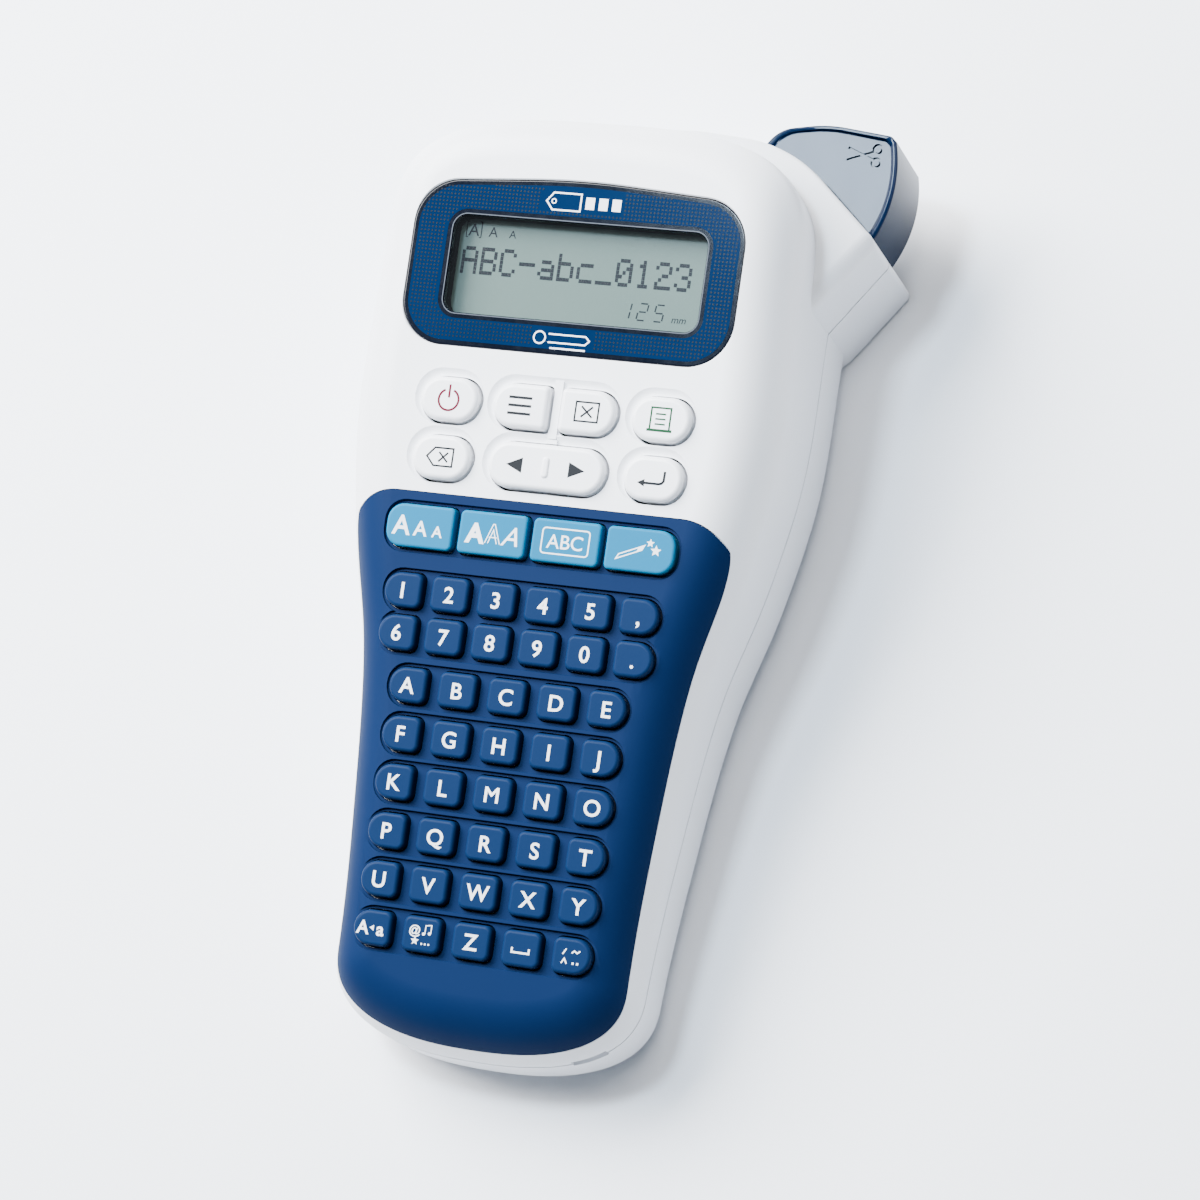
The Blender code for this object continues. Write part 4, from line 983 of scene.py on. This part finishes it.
class Print:
    """Thin raised print gathered in one mesh: lettering, lines and filled shapes, on one level."""

    def __init__(self):
        self.shapes = []

    def area(self, corners):
        tool = bmesh.new()
        tool.faces.new([tool.verts.new((x, y, 0)) for x, y in corners])
        self.shapes.append(tool)

    def line(self, points, width, closed=False):
        """A line of even width through points, with mitred turns."""
        path = [Vector(p) for p in points]
        count = len(path)
        tool = bmesh.new()
        pairs = []
        for index, point in enumerate(path):
            first_end, last_end = not closed and index == 0, not closed and index == count - 1
            before = point * 2 - path[1] if first_end else path[index - 1]
            after = point * 2 - path[index - 1] if last_end else path[(index + 1) % count]
            first = (point - before).normalized()
            second = (after - point).normalized()
            side = Vector((-first.y - second.y, first.x + second.x)).normalized()
            reach = width / 2 / max(side.dot(Vector((-first.y, first.x))), 0.3)
            pairs.append([tool.verts.new((*(point + side * s * reach), 0)) for s in (1, -1)])
        for index in range(count if closed else count - 1):
            a, b = pairs[index], pairs[(index + 1) % count]
            tool.faces.new((a[0], a[1], b[1], b[0]))
        self.shapes.append(tool)

    def ring(self, x, y, radius, width, start=0.0, end=2 * math.pi, count=24):
        closed = end - start >= 2 * math.pi - 1e-6
        steps = count if closed else count + 1
        turns = [start + (end - start) * step / count for step in range(steps)]
        self.line([polar((x, y), radius, a) for a in turns], width, closed)

    def text(self, words, x, y, height, weight=0.0, lean=0.0):
        """Lettering centred on x and y. height is that of a capital."""
        curve = bpy.data.curves.new("lettering", "FONT")
        curve.body = words
        curve.align_x = "CENTER"
        curve.size = height / CAPITAL_HEIGHT
        curve.offset = weight
        curve.shear = lean
        curve.fill_mode = "FRONT"
        curve.resolution_u = 6
        made = bpy.data.objects.new("lettering", curve)
        bpy.context.scene.collection.objects.link(made)
        mesh = plain_mesh(made)
        bpy.data.objects.remove(made)
        tool = bmesh.new()
        tool.from_mesh(mesh)
        bmesh.ops.remove_doubles(tool, verts=tool.verts, dist=0.004)
        bmesh.ops.translate(tool, verts=tool.verts, vec=(x, y - height / 2, 0))
        self.shapes.append(tool)

    def piece(self, name, place, level_at, look, body, slot, depth=PRINT_SUNK):
        """The print as a solid piece that stands just proud of the surface at level_at."""
        whole = bmesh.new()
        for index, tool in enumerate(self.shapes):
            bmesh.ops.translate(tool, verts=tool.verts, vec=(0, 0, level_at - depth))
            rise = depth + PRINT_THICKNESS + PRINT_STAGGER * (index % 3)
            bmesh.ops.translate(tool, verts=list(thicken(tool)), vec=(0, 0, rise))
            scratch = bpy.data.meshes.new("print")
            tool.to_mesh(scratch)
            tool.free()
            whole.from_mesh(scratch)
        made = settle(name, whole, place)
        return dress(made, look, body, slot=slot)


def box_outline(x, y, width, height):
    return [corner[:2] for corner in box_corners((x, y), (width, height))]


def star(x, y, radius):
    turns = [math.pi / 2 + math.pi * step / 5 for step in range(10)]
    return [polar((x, y), radius * (0.45 if step % 2 else 1.0), a) for step, a in enumerate(turns)]


def draw_power(mark):
    mark.ring(0, -0.2, 2.0, 0.42, math.radians(115), math.radians(425))
    mark.line([(0, 0.2), (0, 2.7)], 0.42)


def draw_menu(mark):
    for y in (1.5, 0.0, -1.5):
        mark.line([(-2.3, y), (2.3, y)], 0.5)


def draw_escape(mark):
    mark.line(box_outline(0, 0, 4.5, 3.6), 0.34, closed=True)
    mark.line([(-1.1, -1.0), (1.1, 1.0)], 0.36)
    mark.line([(-1.1, 1.0), (1.1, -1.0)], 0.36)


def draw_print(mark):
    mark.line([(-1.9, -1.9), (-1.9, 2.1), (1.9, 2.1), (1.9, -1.9)], 0.34)
    mark.area(box_outline(0, -2.1, 4.9, 0.5))
    for y in (0.95, 0.0, -0.95):
        mark.line([(-1.0, y), (1.0, y)], 0.3)


def draw_backspace(mark):
    mark.line([(-2.7, 0), (-1.2, 1.7), (2.5, 1.7), (2.5, -1.7), (-1.2, -1.7)], 0.34, closed=True)
    mark.line([(-0.3, -0.9), (1.5, 0.9)], 0.34)
    mark.line([(-0.3, 0.9), (1.5, -0.9)], 0.34)


def draw_cursor(mark):
    mark.area([(-7.8, 0), (-4.6, -1.45), (-4.6, 1.45)])
    mark.area([(7.8, 0), (4.6, 1.45), (4.6, -1.45)])


def draw_enter(mark):
    mark.line([(-1.9, -0.9), (1.4, -0.9), (1.95, -0.75), (2.3, -0.3), (2.35, 1.5)], 0.46)
    mark.area([(-2.8, -0.9), (-1.4, -1.6), (-1.4, -0.2)])


def draw_sizes(mark):
    mark.text("A", -4.1, 0.1, 4.3, 0.1)
    mark.text("A", 0.3, -0.35, 3.3, 0.07)
    mark.text("A", 4.2, -0.75, 2.5, 0.05)


def draw_styles(mark):
    mark.text("A", -3.8, 0, 4.2, 0.22)
    mark.line([(-1.4, -2.0), (0.1, 2.1), (0.5, 2.1), (2.0, -2.0)], 0.22)
    mark.line([(-0.7, -2.0), (0.3, 0.9), (1.3, -2.0)], 0.22)
    mark.line([(-0.6, -0.7), (1.2, -0.7)], 0.22)
    mark.text("A", 4.1, 0, 4.2, 0.02, lean=0.3)


def draw_frame(mark):
    mark.line([(p.x, p.y) for p in key_loop((10.6, 5.4), 0.7, 0.7, 0.0, 3)], 0.3, closed=True)
    mark.text("ABC", 0, 0, 3.1, 0.02)


def draw_wand(mark):
    mark.line([(-5.0, -2.2), (-4.5, -1.2), (1.0, 1.1), (0.5, 0.1)], 0.26, closed=True)
    mark.area([(-0.7, -0.35), (-0.2, 0.65), (1.0, 1.1), (0.5, 0.1)])
    mark.area(star(2.2, 1.7, 0.95))
    mark.area(star(3.6, 0.2, 1.25))


def draw_shift(mark):
    mark.text("A", -2.0, 0, 2.9, 0.08)
    mark.area([(-0.45, 0), (0.5, 0.6), (0.5, -0.6)])
    mark.text("a", 2.0, 0, 2.9, 0.08)


def draw_symbols(mark):
    mark.text("@", -1.5, 0.9, 1.9, 0.03)
    mark.line([(0.9, 0.3), (0.9, 2.0), (2.2, 2.2), (2.2, 0.5)], 0.2)
    for head in ((0.6, 0.2), (1.9, 0.4)):
        mark.area(circle(head, 0.36, 6))
    mark.area(star(-1.2, -1.4, 0.95))
    for x in (0.4, 1.2, 2.0):
        mark.area(box_outline(x, -1.9, 0.36, 0.36))


def draw_space(mark):
    mark.line([(-1.9, 0.2), (-1.9, -0.8), (1.9, -0.8), (1.9, 0.2)], 0.4)


def draw_accents(mark):
    mark.line([(-1.9, 0.3), (-1.2, 1.5)], 0.3)
    mark.line([(0.1, 0.7), (0.6, 1.2), (1.3, 0.8), (1.9, 1.3)], 0.3)
    mark.line([(-2.0, -1.6), (-1.4, -0.6), (-0.8, -1.6)], 0.3)
    for x in (0.6, 1.6):
        mark.area(box_outline(x, -1.4, 0.45, 0.45))


def single_keys():
    """White and turquoise keys with their marks."""
    marks = {
        "power_key": (draw_power, "red ink"),
        "menu_key": (draw_menu, "dark ink"),
        "escape_key": (draw_escape, "dark ink"),
        "print_key": (draw_print, "green ink"),
        "backspace_key": (draw_backspace, "dark ink"),
        "cursor_key": (draw_cursor, "dark ink"),
        "enter_key": (draw_enter, "dark ink"),
        "text_size_key": (draw_sizes, "white ink"),
        "text_style_key": (draw_styles, "white ink"),
        "text_frame_key": (draw_frame, "white ink"),
        "decoration_key": (draw_wand, "white ink"),
    }
    plans = [(key, WHITE_RISE, 1.15, "key white", "key_white") for key in white_keys()]
    plans += [(key, TURQUOISE_RISE, 0.7, "turquoise", "turquoise_plastic") for key in turquoise_keys()]
    for (name, x, y, size, left, right), rise, soft, look, slot in plans:
        lofts = [moved(cap_rings(size, left, right, rise, soft), x, y)]
        if name == "cursor_key":
            ridge = cap_rings((1.9, 4.8), 0.9, 0.9, rise + 0.35, 0.7, rise - 0.4)
            lofts.append(moved(ridge, x, y))
        cap = solid(f"{name}_cap", lofts, FACE)
        dress(cap, LOOKS[look], name, name, slot=slot, soft=40)
        mark = Print()
        draw, colour = marks[name]
        draw(mark)
        if look == "key white":
            for part in mark.shapes:
                bmesh.ops.scale(part, vec=(LEGEND_SCALE, LEGEND_SCALE, 1.0), verts=part.verts)
        place = FACE @ Matrix.Translation((x, y, 0))
        mark.piece(f"{name}_legend", place, rise, LOOKS[colour], name, slot)


def small_keys():
    """Rows of number and letter keys with white legends."""
    legends = ["12345,", "67890.", "ABCDE", "FGHIJ", "KLMNO", "PQRST", "UVWXY"]
    legends.append((draw_shift, draw_symbols, "Z", draw_space, draw_accents))
    for (name, row), words in zip(small_rows().items(), legends):
        caps = []
        mark = Print()
        for (_, x, y, size, left, right), word in zip(row, words):
            caps.append(moved(cap_rings(size, left, right, SMALL_RISE, 0.85), x, y))
            if callable(word):
                drawn = Print()
                word(drawn)
                for part in drawn.shapes:
                    bmesh.ops.translate(part, verts=part.verts, vec=(x, y, 0))
                mark.shapes += drawn.shapes
            else:
                mark.text(word, x, y, 3.5, 0.0 if word == "M" else 0.08)
                if word == "M":
                    mark.text(word, x + 0.07, y, 3.5)
                    mark.text(word, x - 0.07, y, 3.5)
        strip = row_outline(row, 0.0)
        caps.append(prism(strip, KEY_BOTTOM, KEY_BOTTOM + 0.8))
        made = solid(f"{name}_caps", caps, FACE)
        dress(made, LOOKS["key navy"], name, name, slot="navy_plastic", soft=40)
        mark.piece(f"{name}_legends", FACE, SMALL_RISE, LOOKS["white ink"], name, "navy_plastic")


# ---------------------------------------------------------------- window and display


def window_dots(look):
    """The dots of the print: a grid of short cylinders, kept clear of the rims and the marks."""
    tree = Scatter("window dots", Pitch="Float", Radius="Float")
    pitch = tree.value("Pitch")
    width, height = (size * MM for size in WINDOW_SIZE)
    columns = (width / pitch).maths("FLOOR", width / pitch) + 1
    rows = (height / pitch).maths("FLOOR", height / pitch) + 1
    size = {"Size X": (columns - 1) * pitch, "Size Y": (rows - 1) * pitch}
    grid = tree.node("GeometryNodeMeshGrid", None, {**size, "Vertices X": columns, "Vertices Y": rows})
    where = tree.node("GeometryNodeInputPosition")
    parts = tree.tree.nodes.new("ShaderNodeSeparateXYZ")
    tree.feed(parts.inputs[0], where)
    across, along = Wire(tree, parts.outputs[0]), Wire(tree, parts.outputs[1])

    def outside(centre, size, corner):
        """Distance outside a rounded rectangle, negative inside its straight sides."""
        out = []
        for value, middle, span in zip((across, along), centre, size):
            off = (value - middle * MM).maths("ABSOLUTE", value - middle * MM)
            out.append(off - (span / 2 - corner) * MM)
        beyond = [o.maths("MAXIMUM", o, 0.0) for o in out]
        squares = beyond[0] * beyond[0] + beyond[1] * beyond[1]
        return squares.maths("SQRT", squares) - corner * MM

    edge = outside((0, 0), WINDOW_SIZE, WINDOW_CORNER) > (-WINDOW_RIM - DOT_MARGIN) * MM
    glass = (GLASS_CENTRE[0], GLASS_CENTRE[1] - WINDOW_CENTRE)
    hole = outside(glass, GLASS_SIZE, GLASS_CORNER) < (GLASS_BORDER + DOT_MARGIN) * MM
    arch = along + across * across * (WINDOW_ARCH / (WINDOW_SIZE[0] / 2) ** 2 / MM)
    drop = edge + hole + (arch > (WINDOW_SIZE[1] / 2 - WINDOW_RIM - DOT_MARGIN) * MM)
    for (x, y), size in MARK_CLEARINGS:
        drop = drop + (outside((x, y - WINDOW_CENTRE), size, 0.5) < 0.0)
    kept = tree.node("GeometryNodeDeleteGeometry", {"domain": "POINT"}, {"Geometry": grid, "Selection": drop > 0.5})
    values = {"Vertices": 6, "Radius": tree.value("Radius"), "Depth": DOT_HEIGHT * MM}
    tree.copies(kept, tree.node("GeometryNodeMeshCylinder", None, values), look)

    made = settle("window_dot_pattern", bmesh.new())
    tree.grow(made, Pitch=DOT_PITCH * MM, Radius=DOT_RADIUS * MM)
    shelf = Matrix.Translation((0, WINDOW_CENTRE, DOT_SHELF - PART_GAP))
    made.data.transform(Matrix.Scale(MM, 4) @ FACE @ shelf @ Matrix.Scale(1 / MM, 4))
    for face in made.data.polygons:
        face.material_index = 0
    dress(made, look, "case", slot="window_print")


def tag_mark(mark, x, y, size):
    """A plain luggage-tag outline with a hole, the generic mark on the window."""
    points = [(-1.0, 0.0), (-0.6, 0.5), (1.1, 0.5), (1.1, -0.5), (-0.6, -0.5)]
    mark.line([(x + px * size, y + py * size) for px, py in points], 0.34, closed=True)
    mark.ring(x - 0.55 * size, y, 0.13 * size, 0.24, count=12)


def display():
    """The window, its print and marks, a painted highlight line round the glass opening, and the liquid crystal panel
    with its segments.
    """
    top = -PART_GAP
    low = -WINDOW_THICKNESS - PART_GAP
    edge = ((0.0, low), (0.0, top - 0.3), (0.12, top - 0.09), (0.35, top))
    window = solid("display_window_plate", [[level(window_loop(d), z) for d, z in edge]], FACE)
    edge = ((0.0, low - 1), (0.0, top - 0.25), (-0.15, top - 0.05), (-0.5, top + 0.6))
    cut(window, "window cut", [[level(glass_loop(d), z) for d, z in edge]], FACE)
    dress(window, LOOKS["window rim"], "case", "display_window", slot="window_print")
    lens = [level(glass_loop(0.03), z) for z in (low + 0.5, top - 0.12)]
    dress(solid("display_window_lens", [lens], FACE), LOOKS["clear"], "case", slot="window_print")
    field = solid("window_blue_field", [prism(window_loop(WINDOW_RIM), top - 0.1, top + 0.03)], FACE)
    cut(field, "field cut", [prism(glass_loop(-GLASS_BORDER), -5.0, 5.0)], FACE)
    dress(field, LOOKS["window blue"], "case", slot="window_print")
    # A thin light-grey ring just outside the glass opening is a painted highlight, standing in for light caught on the
    # opening's edge.
    edge = ((-0.42, top - 0.02), (-0.42, top + 0.04), (-0.2, top + 0.04), (-0.2, top - 0.02))
    glint = solid("window_edge_line", [[level(glass_loop(d), z) for d, z in edge]], FACE)
    cut(glint, "edge core", [prism(glass_loop(-0.2), -5.0, 5.0)], FACE)
    dress(glint, LOOKS["painted edge highlight"], "case", slot="window_print")
    window_dots(LOOKS["window dots"])
    marks = Print()
    tag_mark(marks, -4.3, 76.4, 3.7)
    for x in (1.9, 4.9, 7.9):
        marks.area(box_outline(x, 76.4, 2.0, 2.6))
    marks.ring(-5.2, 47.0, 1.3, 0.32)
    marks.line([(-3.2, 47.9), (5.2, 47.9), (6.1, 47.0), (5.2, 46.1), (-3.2, 46.1)], 0.32)
    marks.area(box_outline(1.4, 44.9, 8.0, 0.35))
    marks.piece("window_marks", FACE, top + 0.03, LOOKS["white ink"], "case", "window_print", 0.02)
    glass_top = low - PART_GAP - FRAME_DEPTH - PART_GAP
    outline = glass_loop(-FRAME_RIM)
    rings = [level(outline, glass_top - 2.4), level(outline, glass_top - 0.2)]
    rings.append(level(inset(outline, 0.2), glass_top))
    panel = solid("liquid_crystal_panel", [rings], FACE)
    dress(panel, LOOKS["liquid crystal"], "case", "display_glass", slot="display_glass")
    segments(glass_top)


GLYPHS = {
    "A": "01110 10001 10001 11111 10001 10001 10001",
    "B": "11110 10001 10001 11110 10001 10001 11110",
    "C": "01110 10001 10000 10000 10000 10001 01110",
    "-": "00000 00000 00000 11111 00000 00000 00000",
    "a": "00000 00000 01110 00001 01111 10001 01111",
    "b": "10000 10000 11110 10001 10001 10001 11110",
    "c": "00000 00000 01111 10000 10000 10000 01111",
    "_": "00000 00000 00000 00000 00000 00000 11111",
    "0": "01110 10001 10011 10101 11001 10001 01110",
    "1": "00100 01100 00100 00100 00100 00100 01110",
    "2": "01110 10001 00001 00110 01000 10000 11111",
    "3": "01110 10001 00001 00110 00001 10001 01110",
}
SEGMENT_ENDS = {
    "a": ((-1, 2), (1, 2)),
    "b": ((1, 2), (1, 0)),
    "c": ((1, 0), (1, -2)),
    "d": ((-1, -2), (1, -2)),
    "e": ((-1, 0), (-1, -2)),
    "f": ((-1, 2), (-1, 0)),
    "g": ((-1, 0), (1, 0)),
}
CHARACTER_START = (-27.0, 65.6)
CHARACTER_PITCH = (0.74, 0.86)  # of its dots, across and down


def segments(glass_top):
    """What the display shows: size marks, a line of dot characters and a length in millimetres."""
    shown = Print()
    across, down = CHARACTER_PITCH
    for place, letter in enumerate("ABC-abc_0123"):
        for row, bits in enumerate(GLYPHS[letter].split()):
            for column, bit in enumerate(bits):
                if bit == "1":
                    x = CHARACTER_START[0] + (place * 6 + column) * across
                    y = CHARACTER_START[1] - row * down
                    shown.area(box_outline(x, y, across * 0.95, 0.81))
    for x, y, height in ((-25.4, 69.7, 2.8), (-20.9, 69.5, 2.3), (-16.4, 69.3, 1.8)):
        shown.text("A", x, y, height)
    for side in (-1, 1):
        x = -25.4 + side * 1.7
        shown.line([(x - side * 0.45, 71.4), (x, 71.4), (x, 68.0), (x - side * 0.45, 68.0)], 0.2)
    for place, lit in enumerate(("bc", "abdeg", "acdfg")):
        x = 11.6 + place * 3.75
        for name in lit:
            (x0, y0), (x1, y1) = SEGMENT_ENDS[name]
            start = Vector((x + x0 + 0.12 * y0, 55.0 + 0.9 * y0))
            end = Vector((x + x1 + 0.12 * y1, 55.0 + 0.9 * y1))
            gap = (end - start).normalized() * 0.22
            shown.line([start + gap, end - gap], 0.3)
    shown.text("mm", 23.6, 54.0, 1.6, lean=0.2)
    shown.piece("display_segments", FACE, glass_top, LOOKS["segments"], "case", "display_glass", 0.02)


# ---------------------------------------------------------------- lever and back


def lever_corners():
    """The cutter lever seen from the front, with its swept edge about the pivot."""
    steps = 20
    turns = [LEVER_ARC[0] + (LEVER_ARC[1] - LEVER_ARC[0]) * step / steps for step in range(steps + 1)]
    x, y = PIVOT
    swept = [(*polar(PIVOT, LEVER_RADIUS, a), 0) for a in turns]
    tip = [(58.3, 103.6, 1.6), (44.0, 105.2, 30.0), (33.0, 103.4, 8.0)]
    tip.append((x - LEVER_BOSS - 0.2, y + 1.6, 1.5))
    return [(x - 1.2, y - LEVER_BOSS - 0.4, 1.5)] + swept + tip


def plate_height(x, y):
    """Height of the lever's sunken plate, which deepens towards its outer upper corner."""
    slope = (x - PLATE_CENTRE[0]) * PLATE_SLOPE[0] + (y - PLATE_CENTRE[1]) * PLATE_SLOPE[1]
    return lever_height(y) - LEVER_SCOOP - slope


def scissors():
    """Cutters for the engraved scissors: two crossed blades and two ring handles."""
    x, y = SCISSORS
    cutters = []
    for side in (-1, 1):
        blade, handle = Print(), Print()
        blade.line([(x - 3.7, y - side * 1.35), (x + 1.9, y + side * 0.8)], 0.55)
        handle.ring(x + 2.8, y + side * 1.45, 0.95, 0.5, count=20)
        for tool in blade.shapes + handle.shapes:
            tips = thicken(tool)
            for v in tool.verts:
                v.co.z = plate_height(v.co.x, v.co.y) + (2.0 if v in tips else -ENGRAVING)
            cutters.append(settle("scissors", tool))
    return cutters


def lever():
    """The glossy cutter lever: a hollow cap with a raised rim, a sunken plate and an engraved scissors mark."""

    def top(drop):
        return lambda x, y: lever_height(y) - drop

    outer = lever_corners()
    rings = [level(rounded(outer, 0.0, 8), LEVER_BOTTOM)]
    rings += [level(rounded(outer, d, 8), top(h)) for d, h in ((0.0, 0.45), (0.12, 0.16), (0.4, 0.0))]
    centre = Vector(PLATE_CENTRE)
    rim = rounded(outer, 0.4, 8)
    for scale, height in (
        (0.95, top(0.0)),
        (0.935, top(0.08)),
        (0.925, top(0.3)),
        (0.915, lambda x, y: plate_height(x, y) + 0.1),
        (0.895, plate_height),
    ):
        rings.append(level([centre + (p - centre) * scale for p in rim], height))
    made = solid("cutter_lever_cap", [rings])
    hollow = prism(rounded(outer, LEVER_WALL, 6), LEVER_BOTTOM - 3, top(2 * LEVER_WALL))
    boss = prism(circle(PIVOT, LEVER_BOSS), LEVER_BOTTOM, top(LEVER_WALL + 0.5))
    bore = prism(circle(PIVOT, PIN_HOLE), 0.0, 60.0)
    steps = (("DIFFERENCE", "lever hollow", hollow), ("UNION", "lever boss", boss), ("DIFFERENCE", "lever bore", bore))
    shape(made, *((operation, solid(name, [loft])) for operation, name, loft in steps))
    for cutter in scissors():
        shape(made, ("DIFFERENCE", cutter))
    dress(made, LOOKS["lever"], "cutter_lever", "cutter_lever", slot="navy_gloss", soft=30)


def back_cover():
    """The cover over the cassette and the cells, with grip ribs and a latch."""
    outline = inset(body_outline(), COVER_RIM)
    edge = ((0.4, 0.0), (0.12, 0.12), (0.0, 0.4), (0.0, COVER_THICKNESS))
    cover = solid("back_cover_plate", [[level(inset(outline, d), z) for d, z in edge]])
    latch = [(-9.4, 73.0), (-8.6, 73.0), (-8.6, 82.6), (8.6, 82.6)]
    latch += [(8.6, 73.0), (9.4, 73.0), (9.4, 83.4), (-9.4, 83.4)]
    arrow = [(-3.0, 77.0), (3.0, 77.0), (0.0, 80.5)]
    grips = [prism([Vector(p) for p in latch], -1.0, 0.8), prism([Vector(p) for p in arrow], -1.0, 0.3)]
    for step in range(-4, 5):
        bar = key_loop((18.0, 0.9), 0.4, 0.4, 0.0, 4)
        grips.append(prism(shift(bar, 0, 62.0 + step * 1.8), -1.0, 0.35))
    cut(cover, "grip grooves", grips)
    dress(cover, LOOKS["shell"], "back_cover", "back_cover", slot="white_plastic")


def case_screws():
    """Pan-head screws with cross recesses, one drawn and set out at four places by Geometry Nodes."""
    head = [(1.9, 1.02), (2.15, 1.1), (2.35, 1.35), (2.4, 1.6), (2.4, 3.0), (1.2, 3.05), (1.2, 26.0)]
    screw = solid("screw", [[level(circle((0, 0), radius, 24), z) for radius, z in head]])
    for size in ((2.6, 0.6), (0.6, 2.6)):
        cut(screw, "cross", [prism(rounded(box_corners((0, 0), size)), 0.5, 2.1)])
    tree = Scatter("screw places", Screw="Object")
    info = tree.tree.nodes.new("GeometryNodeObjectInfo")
    tree.feed(info.inputs["Object"], tree.value("Screw"))
    turn = tree.node("FunctionNodeRandomValue", {"data_type": "FLOAT"}, {3: math.pi, "Seed": 7}, out=1)
    angle = tree.node("ShaderNodeCombineXYZ", None, {"Z": turn})
    drawn = Wire(tree, info.outputs["Geometry"])
    tree.copies(tree.value("Geometry"), drawn, LOOKS["steel"], Rotation=angle)
    tool = bmesh.new()
    for x, y in SCREWS:
        tool.verts.new((x, y, 0.0))
    made = settle("case_screws", tool)
    tree.grow(made, Screw=screw)
    bpy.data.objects.remove(screw)
    screws = [f"case_screw_{index}" for index in range(1, 5)]
    dress(made, LOOKS["steel"], "case", *screws, slot="steel")


# ---------------------------------------------------------------- carried-over frame nodes


def finish_frame_nodes():
    """Procedural finishes for the CAD nodes that show as they are."""
    looks = {
        "black frame": ["display_frame"],
        "steel": [
            *("lever_pivot_pin", "lever_spring", "cutter_blade", "drive_motor", "motor_shaft"),
            *("platen_shaft", "battery_contacts_left", "battery_contacts_right"),
        ],
        "board": ["main_board"],
        "rubber": ["key_mat", "platen_roller"],
        "dark plastic": ["controller_chip", "print_head"],
        "zinc": ["mechanism_frame"],
        "brass": ["motor_pinion"],
        "gear": ["reduction_gear", "idler_gear", "platen_gear"],
        "cassette": ["tape_cassette"],
        "shell": ["battery_tray"],
        "cell": [f"battery_{index}" for index in range(1, 7)],
    }
    for look, nodes in looks.items():
        for name in nodes:
            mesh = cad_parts[name].data
            mesh.materials.clear()
            mesh.materials.append(LOOKS[look])


# ---------------------------------------------------------------- stage


def area_light(name, place, size, power, aim=(0.0, 0.0, 0.03), colour=(1.0, 1.0, 1.0)):
    """A rectangular light, in metres and watts."""
    lamp = bpy.data.lights.new(name, "AREA")
    lamp.shape = "RECTANGLE"
    lamp.size, lamp.size_y = size
    lamp.energy = power
    lamp.color = colour
    made = bpy.data.objects.new(name, lamp)
    bpy.context.scene.collection.objects.link(made)
    made.location = place
    made.rotation_euler = (Vector(aim) - Vector(place)).to_track_quat("-Z", "Y").to_euler()


def studio():
    """A pale floor, soft lights, and the camera high over the right of the foot."""
    tool = bmesh.new()
    bmesh.ops.create_grid(tool, x_segments=1, y_segments=1, size=4000.0)
    floor = settle("floor", tool)
    floor.data.materials.append(floor_paper())
    world = bpy.data.worlds.new("soft room")
    world.use_nodes = True
    background = world.node_tree.nodes["Background"]
    background.inputs["Color"].default_value = (0.74, 0.86, 1.0, 1.0)
    background.inputs["Strength"].default_value = 0.2
    bpy.context.scene.world = world
    area_light("left softbox", (-0.8, 0.55, 0.95), (1.2, 0.9), 122.0)
    area_light("overhead softbox", (0.22, 0.3, 1.2), (0.5, 0.5), 9.0)
    lever_top = (0.047, 0.097, 0.032)
    area_light("lever glint", (-0.1625, 0.165, 0.905), (0.13, 0.13), 10.0, lever_top, (0.68, 0.84, 1.0))

    camera = bpy.data.cameras.new("camera")
    camera.lens = 124.67
    camera.sensor_width = 36.0
    holder = bpy.data.objects.new("camera", camera)
    bpy.context.scene.collection.objects.link(holder)
    aim = Vector((15.67, -6.30, 40.0))
    distance = 873.1
    forward = Vector((-0.34101, 0.23052, -0.91136)).normalized()
    up = Vector((-0.10670, 0.95371, 0.28116)).normalized()
    right = forward.cross(up)
    turn = Matrix((right, right.cross(forward), -forward)).transposed().to_4x4()
    holder.matrix_world = Matrix.Translation((aim - forward * distance) * MM) @ turn
    bpy.context.scene.camera = holder


front_shell()
rear_shell()
keypad_skin()
single_keys()
small_keys()
display()
lever()
back_cover()
case_screws()
finish_frame_nodes()
studio()
bpy.context.view_layer.update()
